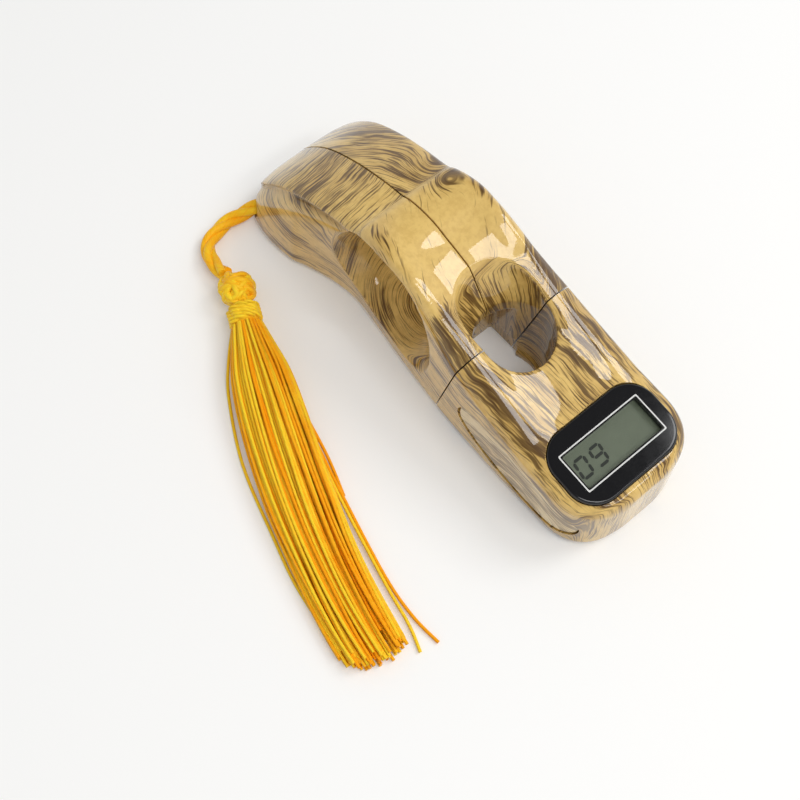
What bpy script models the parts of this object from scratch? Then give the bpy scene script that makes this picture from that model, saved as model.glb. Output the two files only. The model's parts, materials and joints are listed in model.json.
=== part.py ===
"""Digital tally counter for a bead string: loop handle, bead hole, sliding display head, tassel.

Metres, +Z up. +X runs from the tail to the nose of the head, the origin is under the middle of the
counter on the surface it lies on.
"""
import math

import bmesh
import bpy
from mathutils import Matrix, Vector

# Driving dimensions
body_length = 0.112
body_width = 0.0342
body_height = 0.0355
head_length = 0.040
seam_height = 0.027
seam_tilt = math.radians(12.5)
fit_gap = 0.0003
overrun = 0.020

half_width = body_width / 2
tail_x = -body_length / 2
nose_x = body_length / 2
seam_x = nose_x - head_length

# Rounding of the two ends of the body
tail_round = 0.0060
tail_power_share = 4.6
nose_round = 0.0125
nose_power_share = 2.7
tail_edge = 0.0030
nose_edge = 0.0026
bottom_edge = 0.0020

# Outline of the body: share of the length from the tail, then share of the height or half width
top_line_shares = [(0.0, 0.17), (0.009, 0.25), (0.027, 0.355), (0.054, 0.462), (0.089, 0.575),
                   (0.125, 0.665), (0.179, 0.76), (0.232, 0.831), (0.286, 0.885), (0.335, 0.922),
                   (0.348, 0.944), (0.384, 0.963), (0.42, 0.958), (0.455, 0.924), (0.482, 0.900),
                   (0.509, 0.870), (0.536, 0.835), (0.571, 0.785), (0.607, 0.735), (0.643, 0.690),
                   (0.679, 0.655), (0.723, 0.625), (0.768, 0.596), (0.821, 0.566), (0.9, 0.535),
                   (0.946, 0.513), (1.0, 0.488)]
crest_rise_shares = [(0.0, -0.01), (0.125, -0.02), (0.25, -0.02), (0.32, -0.012), (0.375, 0.02),
                     (0.42, 0.042), (0.464, 0.062), (0.509, 0.066), (0.554, 0.060), (0.589, 0.060),
                     (0.616, 0.062), (0.643, 0.066), (0.679, 0.062), (0.714, 0.048),
                     (0.75, 0.034), (0.786, 0.022), (0.821, 0.008), (0.9, -0.003), (1.0, -0.008)]
crest_width_shares = [(0.0, 0.48), (0.107, 0.55), (0.24, 0.58), (0.33, 0.61), (0.42, 0.66),
                      (0.53, 0.65), (0.643, 0.64), (0.75, 0.66), (0.821, 0.69), (0.9, 0.72),
                      (1.0, 0.70)]
lip_width_shares = [(0.0, 0.7), (0.054, 0.75), (0.107, 0.765), (0.232, 0.755), (0.321, 0.735),
                    (0.37, 0.75), (0.42, 0.77), (0.509, 0.77), (0.554, 0.775), (0.598, 0.795),
                    (0.643, 0.83), (0.732, 0.85), (0.821, 0.87), (0.911, 0.885), (1.0, 0.87)]
lip_drop_shares = [(0.0, 0.035), (0.25, 0.034), (0.42, 0.034), (0.571, 0.03), (0.616, 0.04),
                   (0.643, 0.05), (0.732, 0.045), (0.821, 0.036), (0.9, 0.032), (1.0, 0.032)]
groove_depth_shares = [(0.0, 0.03), (0.036, 0.05), (0.107, 0.07), (0.25, 0.075), (0.33, 0.02),
                       (0.4, 0.0), (1.0, 0.0)]
shoulder_width_shares = [(0.0, 0.80), (0.054, 0.86), (0.107, 0.86), (0.179, 0.83), (0.25, 0.77),
                         (0.304, 0.74), (0.42, 0.775), (0.536, 0.82), (0.598, 0.87),
                         (0.643, 0.90), (0.732, 0.925), (0.821, 0.94), (0.9, 0.95), (1.0, 0.94)]
side_width_shares = [(0.0, 0.87), (0.05, 0.965), (0.098, 1.0), (0.161, 0.965), (0.188, 0.89),
                     (0.25, 0.76), (0.313, 0.70), (0.393, 0.75), (0.477, 0.82), (0.589, 0.895),
                     (0.643, 0.92), (0.786, 0.947), (0.884, 0.945), (1.0, 0.93)]
groove_full_share = 0.06
plain_width_share = 0.66
plain_drop_share = 0.36
knee_width_share = 0.55
knee_rise_share = 0.3
groove_height_shares = [(0.0, 0.84), (0.089, 0.866), (0.179, 0.917), (0.4, 0.93), (1.0, 0.94)]
shoulder_height_shares = [(0.0, 0.6), (0.089, 0.72), (0.179, 0.827), (0.4, 0.86), (1.0, 0.87)]

# Number of steps in the body's surface
section_steps = 3
corner_steps = 3
mid_stations = 24
tail_stations = 6
nose_stations = 8
end_share = 0.985

# Finger opening: what stays solid around it, its outline at the lip, and how it narrows to the middle
tail_block = 0.0302
opening_bridge = 0.0108
bar_thickness = 0.0060
arch_thickness = 0.0027
lip_inset = 0.0049
opening_length = body_length - head_length - tail_block - opening_bridge
opening_height = body_height - bar_thickness - arch_thickness
opening_x = seam_x - opening_bridge - opening_length / 2
opening_z = bar_thickness + opening_height / 2
opening_lip = half_width - lip_inset
throat_length_share = 0.75
throat_height_share = 0.70
throat_drop = 0.0018
flare_power_share = 1.8
opening_shares = [(-1.0, -0.07), (-0.88, 0.37), (-0.66, 0.75), (-0.37, 0.94), (0.02, 1.0),
                  (0.41, 0.94), (0.66, 0.78), (0.865, 0.51), (0.987, 0.12), (1.0, -0.37),
                  (0.884, -0.76), (0.6, -0.955), (0.08, -1.0), (-0.43, -0.97), (-0.79, -0.76),
                  (-0.974, -0.43)]
opening_station_shares = [-1.45, -1.2, -1.02, -0.85, -0.6, -0.3, 0.0, 0.3, 0.6, 0.85, 1.02, 1.2, 1.45]

# Bead hole, its narrow foot and the hollow under the front lip of the saddle
hole_radius = 0.0084
hole_x = seam_x
hole_wall = 0.0030
hole_segments = 32
foot_narrowing = 0.0016
foot_half_width = hole_radius - foot_narrowing
foot_top = 0.0070
foot_bottom = 0.0018
foot_steps = 4
funnel_height = 0.0130
funnel_headroom = 0.0010
funnel_foot = body_height - funnel_headroom - funnel_height
funnel_height_shares = [0.0, 0.2, 0.39, 0.58, 0.75, 1.0]
funnel_lean_shares = [0.0, 0.17, 0.35, 0.50, 0.61, 0.72]
funnel_spread_shares = [1.0, 1.01, 1.03, 1.07, 1.15, 1.32]
saddle_lip = 0.0035
pocket_reach = 0.0030
pocket_narrowing = 0.0006
pocket_half_width = foot_half_width - pocket_narrowing
pocket_top = funnel_foot - saddle_lip
slot_reach = 0.0044
slot_top = 0.0050

# Screws, pins and posts
thread_radius = 0.0009
screw_head_radius = 0.0016
screw_head_height = 0.0011
screw_drive_radius = 0.0007
screw_drive_depth = 0.0006
screw_sides = 12
drive_sides = 6
handle_screw_length = 0.0115
handle_screw_seat = 0.0058
tail_screw_reach = 0.0175
tail_screw_height = 0.0145
step_screw_reach = 0.0262
step_screw_height = 0.0105
bar_screw_depth = 0.0026
post_radius = 0.0010
post_inset = 0.0065
post_y = half_width - post_inset
post_z = 0.0060
post_grip = 0.0062
post_reach = 0.0100
post_chamfer = 0.0003
post_play = 0.0001
bush_wall = 0.0004
bush_length = 0.0100
bush_setback = 0.0012
bush_radius = post_radius + post_play + bush_wall
post_foot = seam_x - (seam_height - post_z) * math.tan(seam_tilt)
round_sides = 16

# Cord anchor in the tail, and the dowels that line up the two halves
anchor_reach = 0.0105
anchor_x = tail_x + anchor_reach
anchor_z = 0.0100
anchor_radius = 0.00125
anchor_half_length = 0.0095
chamber_half_length = 0.0055
chamber_half_width = 0.0068
chamber_half_height = 0.0042
dowel_radius = 0.0015
dowel_length = 0.0030
tail_dowel_reach = 0.0240
tail_dowel_height = 0.0185
arch_dowel_back_share = 0.125
arch_dowel_rise_share = 0.43

# Side buttons: what of the head's side they leave free, and their own sizes
button_back = 0.0015
button_front = 0.0045
button_foot = 0.0036
button_headroom = 0.0055
button_length = head_length - button_back - button_front
button_center_x = seam_x + button_back + button_length / 2
button_power_share = 2.4
button_steps = 28
button_recess = 0.0005
button_thickness = 0.0012
button_clearance = 0.0004
button_travel = 0.0007
button_rim = 0.0010
flange_reach = 0.0009
flange_thickness = 0.0010
flange_front = 0.0100
button_boss_radius = 0.0012

# Base, battery and its door
base_thickness = 0.0024
base_inset = 0.0016
cavity_inset = 0.0026
cavity_top_inset = 0.0022
cavity_start = hole_radius + hole_wall
boss_radius = 0.0021
base_boss_back = 0.0028
base_boss_inset = 0.0082
base_boss_x = seam_x + cavity_start + base_boss_back
base_boss_y = half_width - base_boss_inset
base_screw_length = 0.0062
tongue_width = 0.0060
tongue_reach = 0.0008
tongue_thickness = 0.0009
cell_radius = 0.0058
cell_height = 0.0054
cell_rim_share = 0.86
cell_step = 0.0004
cell_front = 0.0106
cell_x = nose_x - cell_front - cell_radius
cup_wall = 0.0008
cup_height = 0.0034
door_thickness = 0.0016
door_end = 0.0012
door_side = 0.0013
door_corner = 0.0030
door_screw_gap = 0.0020
door_screw_inset = 0.0024
door_back = cell_radius + door_end
door_length = door_back + cell_radius + door_screw_gap + door_screw_inset
door_width = (cell_radius + door_side) * 2
door_head_depth = 0.0012
door_screw_length = 0.0030
contact_thickness = 0.0003
contact_width = 0.0030
contact_inset = 0.0008
contact_reach = cell_radius - contact_inset

# Display stack, measured from the top of the plate
display_tilt = math.radians(7.2)
window_length = 0.0080
window_end = 0.0045
window_side = 0.0035
plate_front = 0.0027
plate_margin = 0.0036
plate_rise = 0.0003
plate_length = window_length + window_end * 2
plate_width = body_width - plate_margin * 2
display_x = nose_x - plate_front - plate_length / 2
plate_corner = 0.0064
plate_thickness = 0.0013
plate_edge = 0.0004
window_width = plate_width - window_side * 2
window_thickness = 0.0010
window_sink = 0.0001
lcd_overlap = 0.0013
lcd_length = window_length + lcd_overlap * 2
lcd_width = window_width + lcd_overlap * 2
lcd_thickness = 0.0018
connector_length = 0.0014
connector_inset = 0.0023
connector_width = lcd_width - connector_inset * 2
connector_height = 0.0020
board_lap = 0.0002
board_front_lap = 0.0001
board_back = display_x - cell_x + cell_radius + board_lap
board_front = lcd_length / 2 + board_front_lap
board_waist = 0.0008
board_inset = 0.0067
board_taper = 0.0014
board_width = body_width - board_inset * 2
board_front_width = board_width - board_taper * 2
board_thickness = 0.0010
board_boss_gap = 0.0008
board_boss_back = lcd_length / 2 + board_boss_gap + boss_radius
board_boss_y = board_width / 2 - boss_radius
board_screw_length = 0.0036
chip_gap = 0.0015
chip_radius = 0.0030
chip_back = display_x - cell_x + cell_radius - chip_radius - chip_gap
chip_height = 0.0014
switch_back = 0.0030
switch_length = 0.0042
switch_width = 0.0034
switch_height = 0.0030
plunger_radius = 0.0007
plunger_length = 0.0022
plunger_bore = 0.0020

# Cord and tassel, laid on the surface beside the counter
cord_diameter = 0.0036
cord_hole_clearance = 0.0008
cord_points = [(0.0000, 0.0000, 0.0048), (-0.0020, -0.0036, 0.0046), (-0.0040, -0.0073, 0.0040),
               (-0.0055, -0.0107, 0.0027), (-0.0064, -0.0142, 0.0019), (-0.0061, -0.0183, 0.0019),
               (-0.0046, -0.0218, 0.0020), (-0.0018, -0.0240, 0.0024), (0.0019, -0.0246, 0.0031),
               (0.0054, -0.0246, 0.0042)]
cord_reach = 0.0076
cord_start_x = tail_x + cord_reach
cord_start_y = -0.0063
cord_steps = 3
knot_reach = 0.0104
knot_aside = 0.0250
knot_x = cord_start_x + knot_reach
knot_y = cord_start_y - knot_aside
knot_length = 0.0096
knot_width = 0.0086
binding_radius = 0.0036
binding_length = 0.0046
tassel_heading = math.radians(-24.2)
skirt_length = 0.0790
skirt_turn = math.radians(5.4)
skirt_width_shares = [(0.0, 0.48), (0.06, 0.64), (0.16, 0.88), (0.3, 0.98), (0.5, 1.0), (0.7, 0.95),
                      (0.9, 0.94), (1.0, 0.9)]
skirt_height_shares = [(0.0, 0.84), (0.06, 0.94), (0.16, 1.0), (0.3, 0.94), (0.5, 0.8), (0.7, 0.66),
                       (0.9, 0.56), (1.0, 0.5)]
skirt_width = 0.0150
skirt_height = 0.0084
skirt_threads = 11
thread_depth_share = 0.09
thread_fade_share = 1 / 6
neck_lift_fade_share = 0.2
skirt_stations = 12
skirt_steps = 33
knot_rows = 8
knot_cut_share = 0.13
wrap_share = 0.9
wrap_turns = 4
table_gap = 0.0001


def clear_scene():
    """Remove every object from the scene."""
    for item in list(bpy.data.objects):
        bpy.data.objects.remove(item, do_unlink=True)


def material(name, color, roughness, metallic=0.0):
    """Plain Principled material with one colour."""
    result = bpy.data.materials.new(name)
    result.use_nodes = True
    shader = result.node_tree.nodes["Principled BSDF"]
    shader.inputs["Base Color"].default_value = (*color, 1.0)
    shader.inputs["Roughness"].default_value = roughness
    shader.inputs["Metallic"].default_value = metallic
    return result


def add_mesh(name, points, faces):
    """Make an object from points and faces, with its normals turned outwards."""
    mesh = bpy.data.meshes.new(name)
    mesh.from_pydata([tuple(p) for p in points], [], faces)
    shape = bmesh.new()
    shape.from_mesh(mesh)
    bmesh.ops.recalc_face_normals(shape, faces=shape.faces)
    shape.to_mesh(mesh)
    shape.free()
    result = bpy.data.objects.new(name, mesh)
    bpy.context.collection.objects.link(result)
    return result


def loft(name, rings):
    """Skin a list of closed rings that have the same number of points, and cap both ends."""
    count = len(rings[0])
    points = [p for ring in rings for p in ring]
    faces = []
    for row in range(len(rings) - 1):
        for k in range(count):
            here = row * count + k
            beside = row * count + (k + 1) % count
            faces.append((here, beside, beside + count, here + count))
    faces.append(tuple(range(count)))
    faces.append(tuple(range((len(rings) - 1) * count, len(rings) * count)))
    return add_mesh(name, points, faces)


def box(name, low, high):
    """Box between two corners."""
    ring = [(low[0], low[1]), (high[0], low[1]), (high[0], high[1]), (low[0], high[1])]
    return loft(name, [[(x, y, z) for x, y in ring] for z in (low[2], high[2])])


def turned(name, profile, sides, base=Matrix.Identity(4)):
    """Solid of revolution about local Z from (radius, height) pairs, lowest first."""
    rings = []
    for radius, height in profile:
        ring = []
        for k in range(sides):
            angle = 2 * math.pi * k / sides
            ring.append(base @ Vector((radius * math.cos(angle), radius * math.sin(angle), height)))
        rings.append(ring)
    return loft(name, rings)


def along(start, direction):
    """Matrix that puts local Z on a direction, with its foot at a point."""
    turn = Vector(direction).to_track_quat("Z", "Y").to_matrix().to_4x4()
    return Matrix.Translation(start) @ turn


def combine(target, tool, operation):
    """Apply one exact boolean to the target and remove the tool."""
    change = target.modifiers.new(operation.title(), "BOOLEAN")
    change.operation = operation
    change.solver = "EXACT"
    change.object = tool
    depsgraph = bpy.context.evaluated_depsgraph_get()
    mesh = bpy.data.meshes.new_from_object(target.evaluated_get(depsgraph))
    target.modifiers.clear()
    target.data = mesh
    bpy.data.objects.remove(tool, do_unlink=True)
    return target


def cut(target, tool):
    """Cut the tool out of the target."""
    return combine(target, tool, "DIFFERENCE")


def keep(target, tool):
    """Keep only what the target shares with the tool."""
    return combine(target, tool, "INTERSECT")


def fuse(target, tool):
    """Join the tool to the target."""
    return combine(target, tool, "UNION")


def finish(item, name, look, smooth_angle=math.radians(35)):
    """Name a finished piece, give it its material and shade its round faces smooth."""
    item.name = name
    item.data.name = name
    item.data.materials.clear()
    item.data.materials.append(look)
    item.data.shade_smooth()
    item.data.set_sharp_from_angle(angle=smooth_angle)
    return item


def read_shares(table, share):
    """Smooth value of a table of (place, value) pairs at one place."""
    if share <= table[0][0]:
        return table[0][1]
    if share >= table[-1][0]:
        return table[-1][1]
    index = max(k for k in range(len(table) - 1) if table[k][0] <= share)
    x0, y0 = table[index]
    x1, y1 = table[index + 1]
    before = table[max(index - 1, 0)]
    after = table[min(index + 2, len(table) - 1)]
    slope0 = (y1 - before[1]) / (x1 - before[0])
    slope1 = (after[1] - y0) / (after[0] - x0)
    t = (share - x0) / (x1 - x0)
    width = x1 - x0
    return ((2 * t ** 3 - 3 * t ** 2 + 1) * y0 + (t ** 3 - 2 * t ** 2 + t) * width * slope0
            + (3 * t ** 2 - 2 * t ** 3) * y1 + (t ** 3 - t ** 2) * width * slope1)


def spline(points, steps, closed=False):
    """Smooth curve through points, with a number of steps between each two."""
    count = len(points)
    spans = count if closed else count - 1
    result = []
    for k in range(spans):
        if closed:
            p0, p1, p2, p3 = (Vector(points[(k + j - 1) % count]) for j in range(4))
        else:
            p0, p1, p2, p3 = (Vector(points[min(max(k + j - 1, 0), count - 1)]) for j in range(4))
        for step in range(steps):
            t = step / steps
            result.append((p1 * 2 + (p2 - p0) * t + (p0 * 2 - p1 * 5 + p2 * 4 - p3) * t * t
                           + (p1 * 3 - p0 - p2 * 3 + p3) * t ** 3) / 2)
    if not closed:
        result.append(Vector(points[-1]))
    return result


def end_factor(x, inset):
    """How much the section narrows at the rounded ends, 1 in between."""
    into_tail = (tail_x + inset + tail_round - x) / tail_round
    into_nose = (x - nose_x + inset + nose_round) / nose_round
    if into_tail > 0:
        return (1 - min(into_tail, end_share) ** tail_power_share) ** (1 / tail_power_share)
    if into_nose > 0:
        return (1 - min(into_nose, end_share) ** nose_power_share) ** (1 / nose_power_share)
    return 1.0


def edge_drop(x, inset):
    """How far the flat top and bottom turn in at the two ends."""
    into_tail = (tail_x + inset + tail_edge - x) / tail_edge
    into_nose = (x - nose_x + inset + nose_edge) / nose_edge
    if into_tail > 0:
        return tail_edge * (1 - math.sqrt(1 - min(into_tail, end_share) ** 2))
    if into_nose > 0:
        return nose_edge * (1 - math.sqrt(1 - min(into_nose, end_share) ** 2))
    return 0.0


def body_section(x, inset=0.0, top_inset=None):
    """Closed outline of the body across X, as points from the top middle round to the top middle."""
    top_inset = inset if top_inset is None else top_inset
    share = (x - tail_x) / body_length
    narrow = end_factor(x, inset)
    drop = edge_drop(x, inset)
    top_drop = drop if x > seam_x else 0.0

    def width(table):
        return (half_width * read_shares(table, share) - inset) * narrow

    valley = body_height * read_shares(top_line_shares, share) - top_inset - top_drop
    crest_y = width(crest_width_shares)
    crest_z = valley + body_height * read_shares(crest_rise_shares, share)
    lip_y = width(lip_width_shares)
    lip_z = crest_z - body_height * read_shares(lip_drop_shares, share)
    groove_y = lip_y - half_width * read_shares(groove_depth_shares, share) * narrow
    shoulder_y = width(shoulder_width_shares)
    side_y = width(side_width_shares)
    floor = inset + drop
    groove_z = floor + (lip_z - floor) * read_shares(groove_height_shares, share)
    shoulder_z = floor + (lip_z - floor) * read_shares(shoulder_height_shares, share)
    edge = min(bottom_edge, (shoulder_z - floor) / 3, side_y / 3)
    presence = min(read_shares(groove_depth_shares, share) / groove_full_share, 1.0)
    plain_y = lip_y + (shoulder_y - lip_y) * plain_width_share
    plain_z = lip_z - (lip_z - shoulder_z) * plain_drop_share
    groove_y = groove_y * presence + plain_y * (1 - presence)
    groove_z = groove_z * presence + plain_z * (1 - presence)
    outline = [(0.0, valley), (crest_y * knee_width_share, valley + (crest_z - valley) * knee_rise_share),
               (crest_y, crest_z), (lip_y, lip_z), (groove_y, groove_z), (shoulder_y, shoulder_z),
               ((shoulder_y + side_y * 3) / 4, (shoulder_z + floor) / 2), (side_y, floor + edge)]
    half = spline(outline, section_steps)
    for k in range(1, corner_steps + 1):
        angle = math.pi / 2 * k / corner_steps
        half.append(Vector((side_y - edge * (1 - math.cos(angle)), floor + edge * (1 - math.sin(angle)))))
    right = [(x, p[0], p[1]) for p in half]
    left = [(x, -p[0], p[1]) for p in reversed(half[1:])]
    return right + left


def body_stations(inset, start, end):
    """Places along X where the body's surface has a section, closer at the ends."""
    places = [start]
    for k in range(tail_stations):
        places.append(tail_x + inset + tail_round * (1 - math.sin(math.pi / 2 * k / tail_stations)))
    first = tail_x + inset + tail_round
    last = nose_x - inset - nose_round
    for k in range(mid_stations + 1):
        places.append(first + (last - first) * k / mid_stations)
    for k in range(1, nose_stations):
        places.append(last + nose_round * math.sin(math.pi / 2 * k / nose_stations))
    places.append(end)
    shortest = (last - first) / mid_stations / 8
    result = []
    for x in sorted(p for p in places if start <= p <= end):
        if not result or x - result[-1] > shortest:
            result.append(x)
    result[-1] = end
    return result


def body_solid(name, inset=0.0, start=None, end=None, top_inset=None):
    """The body's shape, moved inwards by an inset, between two places along X."""
    low = tail_x + inset + tail_round * (1 - end_share) if start is None else start
    high = nose_x - inset - nose_round * (1 - end_share) if end is None else end
    return loft(name, [body_section(x, inset, top_inset) for x in body_stations(inset, low, high)])


def seam_block(name, side, gap):
    """Big block on one side of the sloping seam between the handle and the head."""
    reach = body_length * 2
    low, high = (gap, reach) if side > 0 else (-reach, -gap)
    result = box(name, (low, -reach, -reach), (high, reach, reach))
    place = Matrix.Translation((seam_x, 0.0, seam_height)) @ Matrix.Rotation(seam_tilt, 4, "Y")
    result.data.transform(place)
    return result


def opening_cutter():
    """Finger opening: narrow in the middle, flaring out to both sides."""
    outline = spline(opening_shares, 2, closed=True)
    rings = []
    for station in opening_station_shares:
        flare = abs(station) ** flare_power_share
        length = opening_length / 2 * (throat_length_share + (1 - throat_length_share) * flare)
        height = opening_height / 2 * (throat_height_share + (1 - throat_height_share) * flare)
        middle = opening_z - throat_drop * (1 - min(flare, 1.0))
        rings.append([(opening_x + p[0] * length, station * opening_lip, middle + p[1] * height)
                      for p in outline])
    return loft("opening_cutter", rings)


def hole_cutter():
    """Bead hole with its foot narrowing to a slot, from above the body to below it."""
    heights = [(body_height + overrun, 0.0), (foot_top, 0.0)]
    for k in range(1, foot_steps + 1):
        heights.append((foot_top + (foot_bottom - foot_top) * math.sin(math.pi / 2 * k / foot_steps),
                        1 - math.cos(math.pi / 2 * k / foot_steps)))
    heights.append((-overrun, 1.0))
    rings = []
    for height, narrow in heights:
        half = hole_radius + (foot_half_width - hole_radius) * narrow
        ring = []
        for k in range(hole_segments):
            angle = 2 * math.pi * k / hole_segments
            ring.append((hole_x + hole_radius * math.cos(angle), half * math.sin(angle), height))
        rings.append(ring)
    return loft("hole_cutter", rings)


def funnel_cutter():
    """Steep hollow that leads from the saddle into the bead hole and leans towards the tail."""
    rings = []
    for rise, lean, spread in zip(funnel_height_shares, funnel_lean_shares, funnel_spread_shares):
        height = funnel_foot + funnel_height * rise
        ring = []
        for k in range(hole_segments):
            angle = 2 * math.pi * k / hole_segments
            ring.append((hole_x - hole_radius * lean + hole_radius * spread * math.cos(angle),
                         hole_radius * spread * math.sin(angle), height))
        rings.append(ring)
    return loft("funnel_cutter", rings)


def pocket_cutter():
    """Hollow under the saddle's front lip, open to the bead hole and to the slot below."""
    back = hole_x - hole_radius - pocket_reach
    front = hole_x - hole_radius / 2
    rounding = pocket_reach / 2
    outline = [(back, slot_top / 2), (back, pocket_top - rounding), (back + rounding, pocket_top),
               (front, pocket_top), (front, slot_top / 2)]
    tall = loft("pocket_cutter", [[(x, y, z) for x, z in outline]
                                  for y in (-pocket_half_width, pocket_half_width)])
    slot = box("slot_cutter", (hole_x - hole_radius - slot_reach, -foot_half_width, -overrun),
               (front, foot_half_width, slot_top))
    return fuse(tall, slot)


def make_handle(looks):
    """Left and right halves of the handle, split along the middle."""
    screw_places = [(tail_x + tail_screw_reach, tail_screw_height),
                    (tail_x + step_screw_reach, step_screw_height),
                    (opening_x, bar_thickness - bar_screw_depth)]
    dowel_places = [(opening_x - opening_length * arch_dowel_back_share,
                     opening_z + opening_height * arch_dowel_rise_share),
                    (tail_x + tail_dowel_reach, tail_dowel_height)]
    exit_point = Vector((cord_start_x + cord_points[0][0], cord_start_y + cord_points[0][1],
                         cord_points[0][2]))
    exit_next = Vector((cord_start_x + cord_points[2][0], cord_start_y + cord_points[2][1],
                        cord_points[2][2]))
    halves = []
    for side, name in ((-1, "handle_shell_left"), (1, "handle_shell_right")):
        shell = body_solid(name)
        reach = body_length * 2
        low, high = (-reach, -fit_gap / 2) if side < 0 else (fit_gap / 2, reach)
        keep(shell, box("half", (-reach, low, -reach), (reach, high, reach)))
        keep(shell, seam_block("behind_seam", -1, fit_gap / 2))
        cut(shell, opening_cutter())
        cut(shell, hole_cutter())
        cut(shell, funnel_cutter())
        cut(shell, pocket_cutter())
        cut(shell, box("chamber", (anchor_x - chamber_half_length, -chamber_half_width,
                                   anchor_z - chamber_half_height),
                       (anchor_x + chamber_half_length, chamber_half_width,
                        anchor_z + chamber_half_height)))
        pin_hole = anchor_radius + fit_gap
        pin_reach = anchor_half_length + fit_gap
        cut(shell, turned("pin_hole", [(pin_hole, 0.0), (pin_hole, pin_reach * 2)], round_sides,
                          along((anchor_x, -pin_reach, anchor_z), (0, 1, 0))))
        channel = cord_diameter / 2 + cord_hole_clearance
        direction = exit_next - exit_point
        cut(shell, turned("cord_channel", [(channel, 0.0), (channel, overrun)], round_sides,
                          along(exit_point - direction.normalized() * channel / 2, direction)))
        hole = post_radius + fit_gap
        cut(shell, turned("post_hole", [(hole, 0.0), (hole, overrun)], round_sides,
                          along((post_foot - post_grip - fit_gap, side * post_y, post_z), (1, 0, 0))))
        for x, z in screw_places:
            thread = thread_radius + fit_gap
            cut(shell, turned("screw_hole", [(thread, 0.0), (thread, handle_screw_length + fit_gap * 2)],
                              screw_sides, along((x, handle_screw_seat + fit_gap, z), (0, -1, 0))))
            if side > 0:
                head_hole = screw_head_radius + fit_gap
                cut(shell, turned("head_hole", [(head_hole, 0.0), (head_hole, overrun)], screw_sides,
                                  along((x, handle_screw_seat - fit_gap, z), (0, 1, 0))))
        for x, z in dowel_places:
            if side < 0:
                fuse(shell, turned("dowel", [(dowel_radius, 0.0), (dowel_radius, dowel_length * 2)],
                                   round_sides, along((x, -dowel_length, z), (0, 1, 0))))
            else:
                socket = dowel_radius + fit_gap
                cut(shell, turned("socket", [(socket, 0.0), (socket, dowel_length * 2 + fit_gap)],
                                  round_sides, along((x, -dowel_length, z), (0, 1, 0))))
        halves.append(finish(shell, name, looks["wood_print"]))
    for number, (x, z) in enumerate(screw_places, 1):
        finish(screw("screw", (x, handle_screw_seat, z), (0, -1, 0), handle_screw_length),
               f"handle_screw_{number}", looks["screw_steel"])
    return halves


def screw(name, seat, direction, length, head_height=screw_head_height):
    """Screw with a round head, a driving recess and a shank along a direction from its seat."""
    place = along(seat, [-value for value in direction])
    rounding = head_height / 3
    head = screw_head_radius
    result = turned(name, [(thread_radius / 2, -length), (thread_radius, thread_radius - length),
                           (thread_radius, 0.0), (head, 0.0), (head, head_height - rounding),
                           (head - rounding, head_height)], screw_sides, place)
    depth = min(screw_drive_depth, head_height * 2 / 3)
    drive = turned("drive", [(screw_drive_radius, head_height - depth),
                             (screw_drive_radius, head_height + overrun)], drive_sides, place)
    return cut(result, drive)


def make_posts(looks):
    """Two guide posts held in the handle's cheeks, and the bushes they slide in."""
    for side, word in ((-1, "left"), (1, "right")):
        place = along((post_foot - post_grip, side * post_y, post_z), (1, 0, 0))
        length = post_grip + post_reach
        finish(turned("post", [(post_radius - post_chamfer, 0.0), (post_radius, post_chamfer),
                               (post_radius, length - post_chamfer),
                               (post_radius - post_chamfer, length)], round_sides, place),
               f"guide_post_{word}", looks["bright_steel"])
        start = along((post_foot + bush_setback, side * post_y, post_z), (1, 0, 0))
        bore = post_radius + post_play
        bush = turned("bush", [(bush_radius, 0.0), (bush_radius, bush_length)], round_sides, start)
        cut(bush, turned("bore", [(bore, -overrun), (bore, bush_length + overrun)], round_sides, start))
        finish(bush, f"post_bush_{word}", looks["brass"])


def rounded_outline(length, width, corner, steps=5):
    """Rounded rectangle in X and Y about zero."""
    points = []
    for sx, sy, start in ((1, 1, 0.0), (-1, 1, 0.5), (-1, -1, 1.0), (1, -1, 1.5)):
        for k in range(steps + 1):
            angle = math.pi * (start + 0.5 * k / steps)
            points.append((sx * (length / 2 - corner) + corner * math.cos(angle),
                           sy * (width / 2 - corner) + corner * math.sin(angle)))
    return points


def slab(name, outline, low, high, base=Matrix.Identity(4)):
    """Upright prism on an outline in X and Y."""
    return loft(name, [[base @ Vector((x, y, z)) for x, y in outline] for z in (low, high)])


def display_place(x=0.0, y=0.0, z=0.0):
    """Matrix of the tilted display stack, zero on top of the plate's middle."""
    return (Matrix.Translation((display_x, 0.0, display_z)) @ Matrix.Rotation(display_tilt, 4, "Y")
            @ Matrix.Translation((x, y, z)))


def top_height(x):
    """Height of the body's top along its middle."""
    return body_height * read_shares(top_line_shares, (x - tail_x) / body_length)


def button_outline(grow):
    """Long oval in X and Z for a side button, larger by a clearance."""
    points = []
    for k in range(button_steps):
        angle = 2 * math.pi * k / button_steps
        cosine, sine = math.cos(angle), math.sin(angle)
        x = (button_length / 2 + grow) * math.copysign(abs(cosine) ** (2 / button_power_share), cosine)
        z = (button_height / 2 + grow) * math.copysign(abs(sine) ** (2 / button_power_share), sine)
        points.append((button_center_x + x * math.cos(display_tilt) + z * math.sin(display_tilt),
                       button_center_z + z * math.cos(display_tilt) - x * math.sin(display_tilt)))
    return points


def button_prism(name, side, grow, inner_y):
    """Prism of the button's outline from an inner depth out past the side."""
    return loft(name, [[(x, side * y, z) for x, z in button_outline(grow)]
                       for y in (inner_y, half_width + overrun)])


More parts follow.
